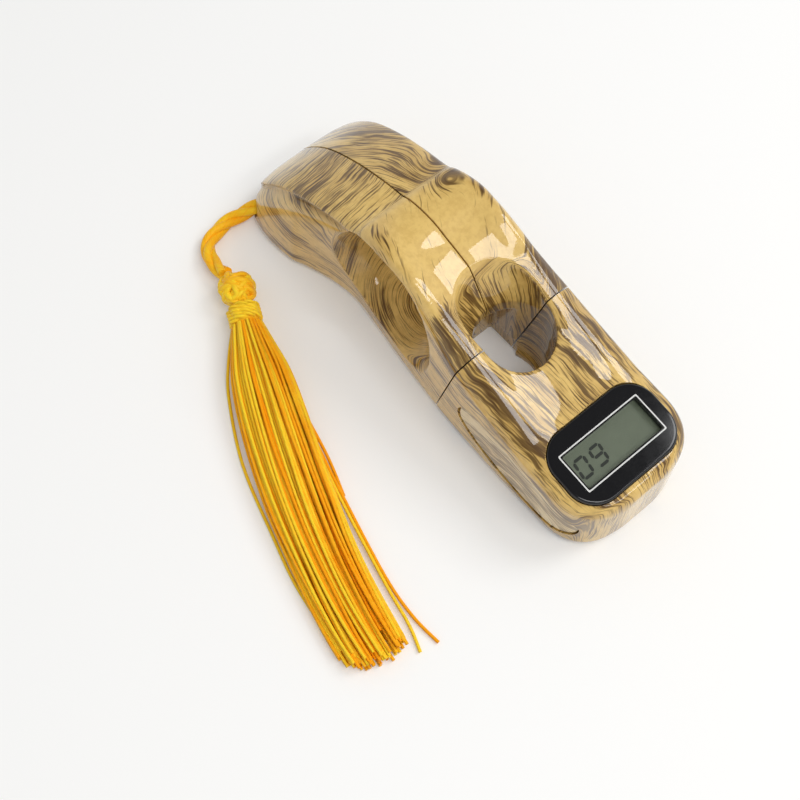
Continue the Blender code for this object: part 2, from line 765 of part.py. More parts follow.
display_z = top_height(display_x) + plate_rise
button_height = top_height(button_center_x) - button_foot - button_headroom
button_center_z = button_foot + button_height / 2
lcd_top = -plate_thickness - fit_gap
strip_top = lcd_top - lcd_thickness - fit_gap
board_top = strip_top - connector_height - fit_gap
board_bottom = board_top - board_thickness
base_back = seam_x + cavity_start
board_screw_places = [(-board_boss_back, side * board_boss_y) for side in (-1, 1)]
base_screw_places = [(base_boss_x, side * base_boss_y) for side in (-1, 1)]
door_middle = cell_x - door_back + door_length / 2
door_screw_x = cell_x + cell_radius + door_screw_gap
switch_middle = board_width / 2 - switch_width / 2
plunger_tip = switch_middle + switch_width / 2 - plunger_bore + button_travel + fit_gap + plunger_length


def side_width(x, inset):
    """Half width of the body low on its sides, moved inwards."""
    share = (x - tail_x) / body_length
    return (half_width * read_shares(side_width_shares, share) - inset) * end_factor(x, inset)


def plan_ring(inset, start, end=nose_x):
    """Outline of the body's sides seen from above, moved inwards, between two places along X."""
    end = min(end, nose_x - inset - nose_round * (1 - end_share))
    right = [(x, side_width(x, inset)) for x in body_stations(inset, start, end)]
    return right + [(x, -y) for x, y in reversed(right)]


def make_head_shell(looks):
    """Head shell: outer surface, front half of the bead hole, cavity, seats and openings."""
    shell = body_solid("head_shell")
    keep(shell, seam_block("ahead_of_seam", 1, fit_gap / 2))
    cut(shell, hole_cutter())

    cavity = body_solid("cavity", cavity_inset, seam_x + cavity_start, None, cavity_top_inset)
    for x, y in base_screw_places:
        cut(cavity, turned("boss", [(boss_radius, base_thickness), (boss_radius, body_height)],
                           round_sides, Matrix.Translation((x, y, 0.0))))
    for u, v in board_screw_places:
        cut(cavity, turned("board_boss", [(boss_radius, board_top + fit_gap), (boss_radius, overrun)],
                           round_sides, display_place(u, v)))
    cut(shell, cavity)
    cut(shell, slab("base_seat", plan_ring(base_inset, base_back), -overrun, base_thickness + fit_gap))
    base_front = nose_x - base_inset - nose_round * (1 - end_share)
    cut(shell, box("tongue_slot", (base_front - overrun / 2, -tongue_width / 2 - fit_gap,
                                   base_thickness / 2),
                   (base_front + tongue_reach + fit_gap, tongue_width / 2 + fit_gap,
                    base_thickness + fit_gap)))

    cut(shell, slab("plate_seat",
                    rounded_outline(plate_length + fit_gap * 2, plate_width + fit_gap * 2,
                                    plate_corner + fit_gap),
                    -plate_thickness - fit_gap, overrun, display_place()))
    cut(shell, slab("aperture", rounded_outline(lcd_length + fit_gap * 2, lcd_width + fit_gap * 2,
                                                fit_gap * 2, 1),
                    board_top, overrun, display_place()))

    for side in (-1, 1):
        well = button_prism("button_well", side, button_clearance, half_width / 2)
        floor_inset = button_recess + button_thickness + button_travel + fit_gap
        cut(well, slab("well_floor", plan_ring(floor_inset, 0.0, base_back + button_rim / 2), -overrun,
                       body_height))
        cut(shell, well)
        bush = bush_radius + fit_gap
        cut(shell, turned("bush_hole", [(bush, -overrun), (bush, bush_setback + bush_length + fit_gap)],
                          round_sides, along((post_foot, side * post_y, post_z), (1, 0, 0))))
    for x, y in base_screw_places:
        thread = thread_radius + fit_gap
        cut(shell, turned("thread", [(thread, 0.0), (thread, base_screw_length + fit_gap)], screw_sides,
                          Matrix.Translation((x, y, screw_head_height))))
    for u, v in board_screw_places:
        thread = thread_radius + fit_gap
        cut(shell, turned("board_thread",
                          [(thread, board_top), (thread, board_bottom + board_screw_length)],
                          screw_sides, display_place(u, v)))
    return finish(shell, "head_shell", looks["wood_print"])


def make_base(looks):
    """Bottom cover with the battery cup, its door and their screws."""
    base = slab("head_base", plan_ring(base_inset + fit_gap, base_back + fit_gap), 0.0, base_thickness)
    base_front = nose_x - base_inset - nose_round * (1 - end_share)
    fuse(base, box("tongue", (base_front - tongue_width / 2, -tongue_width / 2,
                              base_thickness - tongue_thickness),
                   (base_front + tongue_reach, tongue_width / 2, base_thickness)))
    cup = cell_radius + fit_gap
    outer = cup + cup_wall
    fuse(base, turned("cup", [(outer, base_thickness / 2), (outer, base_thickness + cup_height)],
                      round_sides * 2, Matrix.Translation((cell_x, 0.0, 0.0))))
    cut(base, turned("cup_hollow", [(cup, -overrun), (cup, overrun)], round_sides * 2,
                     Matrix.Translation((cell_x, 0.0, 0.0))))
    place = Matrix.Translation((door_middle, 0.0, 0.0))
    cut(base, slab("door_seat", rounded_outline(door_length + fit_gap * 2, door_width + fit_gap * 2,
                                                door_corner + fit_gap),
                   -overrun, door_thickness + fit_gap, place))
    slot = contact_width / 2 + fit_gap
    cut(base, box("contact_slot", (cell_x - cup - cup_wall * 2, -slot, base_thickness + fit_gap),
                  (cell_x, slot, overrun)))
    thread = thread_radius + fit_gap
    cut(base, turned("door_thread", [(thread, -overrun), (thread, overrun)], screw_sides,
                     Matrix.Translation((door_screw_x, 0.0, 0.0))))
    head_hole = screw_head_radius + fit_gap
    for x, y in base_screw_places:
        spot = Matrix.Translation((x, y, 0.0))
        cut(base, turned("head_hole", [(head_hole, -overrun), (head_hole, screw_head_height + fit_gap)],
                         screw_sides, spot))
        cut(base, turned("thread_hole", [(thread, -overrun), (thread, overrun)], screw_sides, spot))
    finish(base, "head_base", looks["wood_print"])

    door = slab("battery_door", rounded_outline(door_length, door_width, door_corner), 0.0,
                door_thickness, place)
    spot = Matrix.Translation((door_screw_x, 0.0, 0.0))
    cut(door, turned("door_head_hole", [(head_hole, -overrun), (head_hole, door_head_depth)], screw_sides,
                     spot))
    cut(door, turned("door_hole", [(thread, -overrun), (thread, overrun)], screw_sides, spot))
    finish(door, "battery_door", looks["wood_print"])
    finish(screw("screw", (door_screw_x, 0.0, door_head_depth - fit_gap), (0, 0, 1), door_screw_length,
                 door_head_depth - fit_gap * 2), "battery_door_screw", looks["screw_steel"])
    for number, (x, y) in enumerate(base_screw_places, 1):
        finish(screw("screw", (x, y, screw_head_height), (0, 0, 1), base_screw_length),
               f"base_screw_{number}", looks["screw_steel"])


def make_buttons(looks):
    """Long oval side buttons that follow the side of the head, each with its switch plunger."""
    inner = button_recess + button_thickness
    wall_face = cavity_inset + fit_gap
    back = seam_x + cavity_start + button_rim
    for side, name, plunger_name in ((-1, "reset_button", "reset_plunger"),
                                     (1, "count_button", "count_plunger")):
        button = body_solid(name, button_recess, seam_x)
        keep(button, button_prism("oval", side, 0.0, half_width / 2))
        cut(button, slab("inside", plan_ring(inner, 0.0), -overrun, body_height))
        rim = body_solid("rim", button_recess + button_thickness / 2, back)
        keep(rim, button_prism("rim_oval", side, 0.0, half_width / 2))
        cut(rim, button_prism("rim_hollow", side, -button_rim, 0.0))
        flange = body_solid("flange", wall_face, back + flange_reach, nose_x - flange_front)
        keep(flange, button_prism("flange_oval", side, flange_reach, half_width / 2))
        cut(flange, button_prism("flange_hollow", side, -button_rim, 0.0))
        fuse(rim, flange)
        cut(rim, slab("rim_limit", plan_ring(wall_face + flange_thickness, 0.0), -overrun, body_height))
        spot = display_place(-switch_back, side * switch_middle,
                             board_bottom - fit_gap - switch_height / 2).to_translation()
        boss_reach = side_width(spot.x, inner) + button_thickness / 2 - plunger_tip - fit_gap
        boss = turned("boss", [(button_boss_radius, 0.0), (button_boss_radius, boss_reach)],
                      round_sides, along((spot.x, side * (plunger_tip + fit_gap), spot.z), (0, side, 0)))
        fuse(button, boss)
        fuse(button, rim)
        finish(button, name, looks["wood_print_pale"])
        finish(turned("plunger", [(plunger_radius, 0.0), (plunger_radius, plunger_length)], round_sides,
                      along((spot.x, side * (plunger_tip - plunger_length), spot.z), (0, side, 0))),
               plunger_name, looks["black_plastic"])


def make_display(looks):
    """Plate, window, liquid crystal glass, contact strips and board with its parts."""
    rings = []
    for z, trim in ((-plate_thickness, 0.0), (-plate_edge, 0.0), (-plate_edge / 3, plate_edge / 3),
                    (0.0, plate_edge)):
        outline = rounded_outline(plate_length - trim * 2, plate_width - trim * 2, plate_corner - trim)
        rings.append([display_place() @ Vector((x, y, z)) for x, y in outline])
    plate = loft("display_plate", rings)
    cut(plate, slab("window_hole", rounded_outline(window_length, window_width, fit_gap, 1),
                    -overrun, overrun, display_place()))
    finish(plate, "display_plate", looks["black_gloss"])
    window = slab("display_window", rounded_outline(window_length - fit_gap * 2, window_width - fit_gap * 2,
                                                    fit_gap, 1),
                  -window_sink - window_thickness, -window_sink, display_place())
    finish(window, "display_window", looks["clear_window"])
    lcd = slab("lcd_panel", rounded_outline(lcd_length, lcd_width, fit_gap, 1), lcd_top - lcd_thickness,
               lcd_top, display_place())
    finish(lcd, "lcd_panel", looks["lcd_glass"])
    for side, word in ((-1, "back"), (1, "front")):
        strip = slab("strip", rounded_outline(connector_length, connector_width, fit_gap, 1),
                     strip_top - connector_height, strip_top,
                     display_place(side * (lcd_length - connector_length) / 2))
        finish(strip, f"lcd_connector_{word}", looks["grey_rubber"])

    half = board_width / 2
    front_half = board_front_width / 2
    outline = [(-board_back, -half), (board_waist, -half), (board_front, -front_half),
               (board_front, front_half), (board_waist, half), (-board_back, half)]
    board = slab("circuit_board", outline, board_bottom, board_top, display_place())
    thread = thread_radius + fit_gap
    for u, v in board_screw_places:
        cut(board, turned("board_hole", [(thread, -overrun), (thread, overrun)], screw_sides,
                          display_place(u, v)))
    finish(board, "circuit_board", looks["green_board"])
    normal = Matrix.Rotation(display_tilt, 4, "Y") @ Vector((0.0, 0.0, 1.0))
    for number, (u, v) in enumerate(board_screw_places, 1):
        seat = display_place(u, v, board_bottom - fit_gap).to_translation()
        finish(screw("screw", seat, normal, board_screw_length), f"board_screw_{number}",
               looks["screw_steel"])
    chip_face = board_bottom - fit_gap
    chip = turned("controller_chip", [(chip_radius / 4, chip_face - chip_height),
                                      (chip_radius * 3 / 4, chip_face - chip_height * 3 / 4),
                                      (chip_radius, chip_face - chip_height / 4), (chip_radius, chip_face)],
                  round_sides, display_place(-chip_back))
    finish(chip, "controller_chip", looks["black_epoxy"])
    for side, name in ((-1, "reset_switch"), (1, "count_switch")):
        top_face = board_bottom - fit_gap
        switch = slab(name, rounded_outline(switch_length, switch_width, fit_gap, 1),
                      top_face - switch_height, top_face, display_place(-switch_back, side * switch_middle))
        middle = display_place(-switch_back, side * switch_middle, top_face - switch_height / 2)
        spot = middle.to_translation()
        bore = plunger_radius + fit_gap
        mouth = side * (switch_middle + switch_width / 2 - plunger_bore)
        cut(switch, turned("plunger_bore", [(bore, 0.0), (bore, overrun)], round_sides,
                           along((spot.x, mouth, spot.z), (0, side, 0))))
        finish(switch, name, looks["black_plastic"])


def board_underside(x):
    """Height of the board's lower face at a place along X."""
    sine, cosine = math.sin(display_tilt), math.cos(display_tilt)
    return display_z + board_bottom * cosine - (x - display_x - board_bottom * sine) * sine / cosine


def make_battery(looks):
    """Button cell on its door, with the two contact strips that reach the board."""
    low = door_thickness + fit_gap * 2
    rim = cell_radius * cell_rim_share
    cell = turned("button_cell", [(rim, low), (cell_radius, low + cell_step),
                                  (cell_radius, low + cell_height - cell_step),
                                  (cell_radius - cell_step, low + cell_height)],
                  round_sides * 2, Matrix.Translation((cell_x, 0.0, 0.0)))
    finish(cell, "button_cell", looks["cell_steel"])
    half = contact_width / 2
    top = low + cell_height + fit_gap
    end_x = cell_x + contact_reach
    minus = box("minus", (cell_x - contact_reach / 2, -half, top), (end_x, half, top + contact_thickness))
    riser = box("riser", (end_x - contact_thickness, -half, top),
                (end_x, half, board_underside(end_x) - fit_gap))
    finish(fuse(minus, riser), "battery_contact_minus", looks["spring_steel"])
    side_x = cell_x - cell_radius - fit_gap
    plus = box("plus", (side_x - contact_thickness, -half, base_thickness + fit_gap * 2),
               (side_x, half, board_underside(side_x) - fit_gap))
    finish(plus, "battery_contact_plus", looks["spring_steel"])


def make_cord_and_tassel(looks):
    """Anchor pin, cord loop, free cord and the tassel that lies beside the counter."""
    pin = turned("cord_anchor_pin", [(anchor_radius, 0.0), (anchor_radius, anchor_half_length * 2)],
                 round_sides, along((anchor_x, -anchor_half_length, anchor_z), (0, 1, 0)))
    finish(pin, "cord_anchor_pin", looks["bright_steel"])

    points = [Vector((cord_start_x + x, cord_start_y + y, z)) for x, y, z in cord_points]
    curve = bpy.data.curves.new("hanging_cord", "CURVE")
    curve.dimensions = "3D"
    curve.bevel_depth = cord_diameter / 2
    curve.bevel_resolution = 2
    curve.use_fill_caps = True
    route = spline(points, cord_steps)
    line = curve.splines.new("POLY")
    line.points.add(len(route) - 1)
    for target, point in zip(line.points, route):
        target.co = (*point, 1.0)
    cord = bpy.data.objects.new("hanging_cord", curve)
    bpy.context.collection.objects.link(cord)
    curve.materials.append(looks["gold_thread"])

    rotate = Matrix.Rotation(tassel_heading, 4, "Z")
    knot_z = knot_width / 2 + fit_gap
    knot_place = Matrix.Translation((knot_x, knot_y, knot_z)) @ rotate @ Matrix.Rotation(math.pi / 2, 4, "Y")
    profile = []
    for k in range(knot_rows + 1):
        angle = math.pi * (knot_cut_share + (1 - 2 * knot_cut_share) * k / knot_rows)
        profile.append((knot_width / 2 * math.sin(angle), -knot_length / 2 * math.cos(angle)))
    finish(turned("tassel_knot", profile, round_sides, knot_place), "tassel_knot", looks["gold_thread"])

    neck = knot_length / 2 * math.cos(math.pi * knot_cut_share) + fit_gap
    binding_place = knot_place @ Matrix.Translation((0.0, 0.0, neck))
    wrap = []
    for k in range(wrap_turns * 2 + 1):
        wrap.append((binding_radius * (1.0 if k % 2 else wrap_share), binding_length * k / (wrap_turns * 2)))
    finish(turned("tassel_binding", wrap, round_sides, binding_place), "tassel_binding",
           looks["gold_thread"])

    start = neck + binding_length + fit_gap
    neck_lift = knot_z - table_gap - skirt_height * skirt_height_shares[0][1] / 2
    rows = []
    for station in range(skirt_stations + 1):
        share = station / skirt_stations
        angle = tassel_heading + skirt_turn * share ** 2
        run = start + skirt_length * share
        half = skirt_width / 2 * read_shares(skirt_width_shares, share)
        height = skirt_height * read_shares(skirt_height_shares, share)
        lift = neck_lift * max(0.0, 1 - share / neck_lift_fade_share) ** 2
        middle = Vector((knot_x + run * math.cos(angle), knot_y + run * math.sin(angle),
                         height / 2 + lift + table_gap))
        across = Vector((-math.sin(angle), math.cos(angle), 0.0))
        ring = []
        for k in range(skirt_steps):
            turn = 2 * math.pi * k / skirt_steps
            presence = min(1.0, share / thread_fade_share)
            wave = 1 + thread_depth_share * (math.cos(turn * skirt_threads) - 1) * presence
            upward = math.sin(turn) * height / 2
            ring.append(middle + across * half * math.cos(turn) * wave
                        + Vector((0.0, 0.0, upward * (wave if upward > 0 else 1.0))))
        rows.append(ring)
    finish(loft("tassel_skirt", rows), "tassel_skirt", looks["gold_thread"])


def main():
    """Build every piece."""
    clear_scene()
    looks = {
        "wood_print": material("wood_print", (0.62, 0.42, 0.16), 0.18),
        "wood_print_pale": material("wood_print_pale", (0.68, 0.52, 0.28), 0.22),
        "black_gloss": material("black_gloss", (0.012, 0.012, 0.013), 0.12),
        "clear_window": material("clear_window", (0.75, 0.8, 0.72), 0.05),
        "lcd_glass": material("lcd_glass", (0.12, 0.15, 0.095), 0.2),
        "grey_rubber": material("grey_rubber", (0.25, 0.25, 0.26), 0.7),
        "green_board": material("green_board", (0.03, 0.16, 0.06), 0.45),
        "black_epoxy": material("black_epoxy", (0.015, 0.015, 0.016), 0.35),
        "black_plastic": material("black_plastic", (0.02, 0.02, 0.02), 0.5),
        "bright_steel": material("bright_steel", (0.72, 0.72, 0.74), 0.2, 1.0),
        "screw_steel": material("screw_steel", (0.55, 0.55, 0.57), 0.3, 1.0),
        "spring_steel": material("spring_steel", (0.7, 0.68, 0.62), 0.25, 1.0),
        "cell_steel": material("cell_steel", (0.75, 0.75, 0.76), 0.18, 1.0),
        "brass": material("brass", (0.75, 0.55, 0.22), 0.3, 1.0),
        "gold_thread": material("gold_thread", (1.0, 0.36, 0.01), 0.55),
    }
    make_handle(looks)
    make_posts(looks)
    make_head_shell(looks)
    make_base(looks)
    make_buttons(looks)
    make_display(looks)
    make_battery(looks)
    make_cord_and_tassel(looks)


main()
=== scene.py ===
"""Digital tally counter for a bead string: its looks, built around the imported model.

Metres, +Z up. +X runs from the tail of the handle to the nose of the display head.
"""
import json
import math
import random

import bmesh
import bpy
import numpy as np
from bpy.props import FloatProperty, FloatVectorProperty, IntProperty, PointerProperty
from mathutils import Matrix, Vector


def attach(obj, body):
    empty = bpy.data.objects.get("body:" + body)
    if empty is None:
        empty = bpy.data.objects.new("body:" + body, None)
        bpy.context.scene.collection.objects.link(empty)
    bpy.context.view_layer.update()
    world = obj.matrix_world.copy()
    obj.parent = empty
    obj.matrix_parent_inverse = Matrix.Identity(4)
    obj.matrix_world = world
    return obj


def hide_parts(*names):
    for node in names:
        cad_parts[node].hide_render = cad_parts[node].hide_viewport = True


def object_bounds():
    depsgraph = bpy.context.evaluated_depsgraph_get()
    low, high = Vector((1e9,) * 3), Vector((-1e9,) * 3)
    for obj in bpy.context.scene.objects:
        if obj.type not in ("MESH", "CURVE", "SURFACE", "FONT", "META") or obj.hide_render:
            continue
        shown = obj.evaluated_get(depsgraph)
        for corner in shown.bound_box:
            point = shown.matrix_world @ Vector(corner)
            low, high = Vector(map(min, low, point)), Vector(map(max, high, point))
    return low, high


bl_info = {
    "name": "Wood Print Tally Counter",
    "version": (1, 0, 0),
    "blender": (4, 5, 0),
    "location": "3D View > Sidebar > Counter",
    "description": "Builds the surfaces, display, cord and tassel of a hand-held bead counter",
    "category": "Object",
}

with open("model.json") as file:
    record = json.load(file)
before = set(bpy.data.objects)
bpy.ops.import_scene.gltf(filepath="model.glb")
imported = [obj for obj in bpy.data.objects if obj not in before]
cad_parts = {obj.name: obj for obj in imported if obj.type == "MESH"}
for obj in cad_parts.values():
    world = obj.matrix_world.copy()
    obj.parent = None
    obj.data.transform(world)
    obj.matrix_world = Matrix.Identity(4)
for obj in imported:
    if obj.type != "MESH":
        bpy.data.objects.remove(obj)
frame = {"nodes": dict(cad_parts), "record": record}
cad_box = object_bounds()
mm = 0.001

# Body, as in the model
body_length = 0.112
body_width = 0.0342
body_height = 0.0355
head_length = 0.040
seam_height = 0.027
seam_tilt = math.radians(12.5)
fit_gap = 0.0003
overrun = 0.020
half_width = body_width / 2
tail_x = -body_length / 2
nose_x = body_length / 2
seam_x = nose_x - head_length
tail_round = 0.0060
tail_power_share = 4.6
nose_round = 0.0125
nose_power_share = 2.7
tail_edge = 0.0030
nose_edge = 0.0026
bottom_edge = 0.0020
end_share = 0.985

top_line_shares = [(0.0, 0.17), (0.009, 0.25), (0.027, 0.355), (0.054, 0.462), (0.089, 0.575),
                   (0.125, 0.665), (0.179, 0.76), (0.232, 0.831), (0.286, 0.885), (0.335, 0.922),
                   (0.348, 0.944), (0.384, 0.963), (0.42, 0.958), (0.455, 0.924), (0.482, 0.900),
                   (0.509, 0.870), (0.536, 0.835), (0.571, 0.785), (0.607, 0.735), (0.643, 0.690),
                   (0.679, 0.655), (0.723, 0.625), (0.768, 0.596), (0.821, 0.566), (0.9, 0.535),
                   (0.946, 0.513), (1.0, 0.488)]
crest_rise_shares = [(0.0, -0.01), (0.125, -0.02), (0.25, -0.02), (0.32, -0.012), (0.375, 0.02),
                     (0.42, 0.042), (0.464, 0.062), (0.509, 0.066), (0.554, 0.060), (0.589, 0.060),
                     (0.616, 0.062), (0.643, 0.066), (0.679, 0.062), (0.714, 0.048),
                     (0.75, 0.034), (0.786, 0.022), (0.821, 0.008), (0.9, -0.003), (1.0, -0.008)]
crest_width_shares = [(0.0, 0.48), (0.107, 0.55), (0.24, 0.58), (0.33, 0.61), (0.42, 0.66),
                      (0.53, 0.65), (0.643, 0.64), (0.75, 0.66), (0.821, 0.69), (0.9, 0.72),
                      (1.0, 0.70)]
lip_width_shares = [(0.0, 0.7), (0.054, 0.75), (0.107, 0.765), (0.232, 0.755), (0.321, 0.735),
                    (0.37, 0.75), (0.42, 0.77), (0.509, 0.77), (0.554, 0.775), (0.598, 0.795),
                    (0.643, 0.83), (0.732, 0.85), (0.821, 0.87), (0.911, 0.885), (1.0, 0.87)]
lip_drop_shares = [(0.0, 0.035), (0.25, 0.034), (0.42, 0.034), (0.571, 0.03), (0.616, 0.04),
                   (0.643, 0.05), (0.732, 0.045), (0.821, 0.036), (0.9, 0.032), (1.0, 0.032)]
groove_depth_shares = [(0.0, 0.03), (0.036, 0.05), (0.107, 0.07), (0.25, 0.075), (0.33, 0.02),
                       (0.4, 0.0), (1.0, 0.0)]
shoulder_width_shares = [(0.0, 0.80), (0.054, 0.86), (0.107, 0.86), (0.179, 0.83), (0.25, 0.77),
                         (0.304, 0.74), (0.42, 0.775), (0.536, 0.82), (0.598, 0.87),
                         (0.643, 0.90), (0.732, 0.925), (0.821, 0.94), (0.9, 0.95), (1.0, 0.94)]
side_width_shares = [(0.0, 0.87), (0.05, 0.965), (0.098, 1.0), (0.161, 0.965), (0.188, 0.89),
                     (0.25, 0.76), (0.313, 0.70), (0.393, 0.75), (0.477, 0.82), (0.589, 0.895),
                     (0.643, 0.92), (0.786, 0.947), (0.884, 0.945), (1.0, 0.93)]
groove_height_shares = [(0.0, 0.84), (0.089, 0.866), (0.179, 0.917), (0.4, 0.93), (1.0, 0.94)]
shoulder_height_shares = [(0.0, 0.6), (0.089, 0.72), (0.179, 0.827), (0.4, 0.86), (1.0, 0.87)]
groove_full_share = 0.06
plain_width_share = 0.66
plain_drop_share = 0.36
knee_width_share = 0.55
knee_rise_share = 0.3

# Openings, as in the model
tail_block = 0.0302
opening_bridge = 0.0108
bar_thickness = 0.0060
arch_thickness = 0.0027
lip_inset = 0.0049
opening_length = body_length - head_length - tail_block - opening_bridge
opening_height = body_height - bar_thickness - arch_thickness
opening_x = seam_x - opening_bridge - opening_length / 2
opening_z = bar_thickness + opening_height / 2
opening_lip = half_width - lip_inset
throat_length_share = 0.75
throat_height_share = 0.70
throat_drop = 0.0018
flare_power_share = 1.8
opening_shares = [(-1.0, -0.07), (-0.88, 0.37), (-0.66, 0.75), (-0.37, 0.94), (0.02, 1.0),
                  (0.41, 0.94), (0.66, 0.78), (0.865, 0.51), (0.987, 0.12), (1.0, -0.37),
                  (0.884, -0.76), (0.6, -0.955), (0.08, -1.0), (-0.43, -0.97), (-0.79, -0.76),
                  (-0.974, -0.43)]
opening_reach_share = 1.45
hole_sides = 96
hole_radius = 0.0084
hole_wall = 0.0030
foot_half_width = 0.0068
foot_top = 0.0070
foot_bottom = 0.0018
funnel_height = 0.0130
funnel_headroom = 0.0010
funnel_foot = body_height - funnel_headroom - funnel_height
funnel_height_shares = [0.0, 0.2, 0.39, 0.58, 0.75, 1.0]
funnel_lean_shares = [0.0, 0.17, 0.35, 0.50, 0.61, 0.72]
funnel_spread_shares = [1.0, 1.01, 1.03, 1.07, 1.15, 1.32]
saddle_lip = 0.0035
pocket_reach = 0.0030
pocket_half_width = 0.0062
pocket_top = funnel_foot - saddle_lip
slot_reach = 0.0044
slot_top = 0.0050

# Fastenings, as in the model
thread_radius = 0.0009
screw_head_radius = 0.0016
screw_head_height = 0.0011
handle_screw_seat = 0.0058
handle_screw_length = 0.0115
base_screw_length = 0.0062
tail_screw_reach = 0.0175
tail_screw_height = 0.0145
step_screw_reach = 0.0262
step_screw_height = 0.0105
bar_screw_depth = 0.0026
post_radius = 0.0010
post_y = 0.0106
post_z = 0.0060
post_grip = 0.0062
bush_radius = 0.0015
bush_reach = 0.0112
post_foot = seam_x - (seam_height - post_z) * math.tan(seam_tilt)
anchor_x = tail_x + 0.0105
anchor_z = 0.0100
anchor_radius = 0.00125
anchor_half_length = 0.0095
chamber_half = Vector((0.0055, 0.0068, 0.0042))
dowel_radius = 0.0015
dowel_length = 0.0030
dowel_places = [(opening_x - opening_length * 0.125, opening_z + opening_height * 0.43),
                (tail_x + 0.0240, 0.0185)]
cord_channel = 0.0026
cord_points = [(0.0000, 0.0000, 0.0048), (-0.0020, -0.0036, 0.0046), (-0.0040, -0.0073, 0.0040),
               (-0.0055, -0.0107, 0.0027), (-0.0064, -0.0142, 0.0019), (-0.0061, -0.0183, 0.0019),
               (-0.0046, -0.0218, 0.0020), (-0.0018, -0.0240, 0.0024), (0.0019, -0.0246, 0.0031),
               (0.0054, -0.0246, 0.0042)]
cord_start = Vector((tail_x + 0.0076, -0.0063, 0.0))

# Buttons and display, as in the model
button_back = 0.0015
button_front = 0.0045
button_foot = 0.0036
button_headroom = 0.0055
button_length = head_length - button_back - button_front
button_x = seam_x + button_back + button_length / 2
button_power_share = 2.4
button_thickness = 0.0012
button_clearance = 0.0004
button_travel = 0.0007
button_recess = 0.0005
button_rim = 0.0010
button_boss_radius = 0.0012
flange_reach = 0.0009
flange_thickness = 0.0010
flange_front = 0.0100
display_tilt = math.radians(7.2)
window_length = 0.0080
window_end = 0.0045
window_side = 0.0035
plate_front = 0.0027
plate_margin = 0.0036
plate_rise = 0.0003
plate_length = window_length + window_end * 2
plate_width = body_width - plate_margin * 2
display_x = nose_x - plate_front - plate_length / 2
plate_corner = 0.0064
plate_thickness = 0.0013
window_width = plate_width - window_side * 2
lcd_overlap = 0.0013
lcd_length = window_length + lcd_overlap * 2
lcd_width = window_width + lcd_overlap * 2
lcd_top = -plate_thickness - fit_gap
board_top = -0.0060
board_bottom = -0.0070
board_width = 0.0208
board_screw_length = 0.0036
base_thickness = 0.0024
base_inset = 0.0016
base_back = seam_x + hole_radius + hole_wall
base_boss_x = base_back + 0.0028
base_boss_y = 0.0089
board_boss = (-0.0082, 0.0083)
boss_radius = 0.0021
cavity_inset = 0.0026
cavity_top_inset = 0.0022
tongue_width = 0.0060
tongue_reach = 0.0008
switch_back = 0.0030
switch_width = 0.0034
switch_height = 0.0030
plunger_tip = board_width / 2 + 0.0012

# Tassel, as in the model
knot_place = Vector((cord_start.x + 0.0104, cord_start.y - 0.0250, 0.0046))
knot_length = 0.0096
knot_width = 0.0086
knot_cut_share = 0.13
binding_radius = 0.0036
binding_length = 0.0046
tassel_heading = math.radians(-24.2)
skirt_length = 0.0790
skirt_turn = math.radians(5.4)
skirt_width = 0.0150
skirt_height = 0.0084
skirt_width_shares = [(0.0, 0.48), (0.06, 0.64), (0.16, 0.88), (0.3, 0.98), (0.5, 1.0), (0.7, 0.95),
                      (0.9, 0.94), (1.0, 0.9)]
skirt_height_shares = [(0.0, 0.84), (0.06, 0.94), (0.16, 1.0), (0.3, 0.94), (0.5, 0.8), (0.7, 0.66),
                       (0.9, 0.56), (1.0, 0.5)]
neck_lift_fade_share = 0.2
tassel_start = knot_length / 2 * math.cos(math.pi * knot_cut_share) + binding_length + fit_gap * 2

# Loops of the knot as lean, roll and size, and how bright the strands of each piece are
knot_loops = [(0.0, 0.0, 1.0), (0.55, 0.4, 0.97), (-0.55, 0.5, 0.97), (1.35, 1.2, 1.0), (1.3, 0.2, 0.95),
              (0.9, 2.4, 0.96)]
knot_core_share = 0.36
cord_tints = (0.42, 0.62)
knot_tints = (0.50, 0.85)
binding_tints = (0.60, 0.85)

# Printed grain, in millimetres
handle_axis = 9.0
head_axis = 6.0
girth_radius = 15.0
saddle_start = (-18.6, -17.6)
saddle_end = (3.0, 8.0)
top_boldness = 0.95
side_boldness = 0.85
swirl_place = (-20.0, 9.0)
wood_knot_place = (-15.5, 8.0)

# Lamps, each the corners of what it covers, as shares in X and Y of the directions from the counter
softboxes = {"left_softbox": ((0.10, 0.42), (0.38, 0.78)),
             "front_softbox": ((0.24, -0.24), (0.47, 0.24)),
             "nose_softbox": ((0.56, -0.10), (0.66, 0.40))}
lamp_distance = 0.9
lamp_target = Vector((0.01, 0.0, 0.02))

# Camera
camera_azimuth = math.radians(49.8)
camera_elevation = math.radians(64.8)
camera_place = Vector((0.0948, -0.0967, 0.2526))
camera_lens = 58.5
camera_sensor = 36.0


def new_object(name, data):
    """Object that holds the data, linked to the scene."""
    item = bpy.data.objects.new(name, data)
    bpy.context.collection.objects.link(item)
    return item


def add_mesh(name, points, faces):
    """Object from points and faces, with its normals turned outwards."""
    mesh = bpy.data.meshes.new(name)
    mesh.from_pydata([tuple(p) for p in points], [], faces)
    shape = bmesh.new()
    shape.from_mesh(mesh)
    bmesh.ops.recalc_face_normals(shape, faces=shape.faces)
    shape.to_mesh(mesh)
    shape.free()
    return new_object(name, mesh)


def loft(name, rings):
    """Skin closed rings that have the same number of points, and cap both ends."""
    count = len(rings[0])
    points = [p for ring in rings for p in ring]
    faces = []
    for row in range(len(rings) - 1):
        for k in range(count):
            here = row * count + k
            beside = row * count + (k + 1) % count
            faces.append((here, beside, beside + count, here + count))
    faces.append(tuple(range(count)))
    faces.append(tuple(range((len(rings) - 1) * count, len(rings) * count)))
    return add_mesh(name, points, faces)


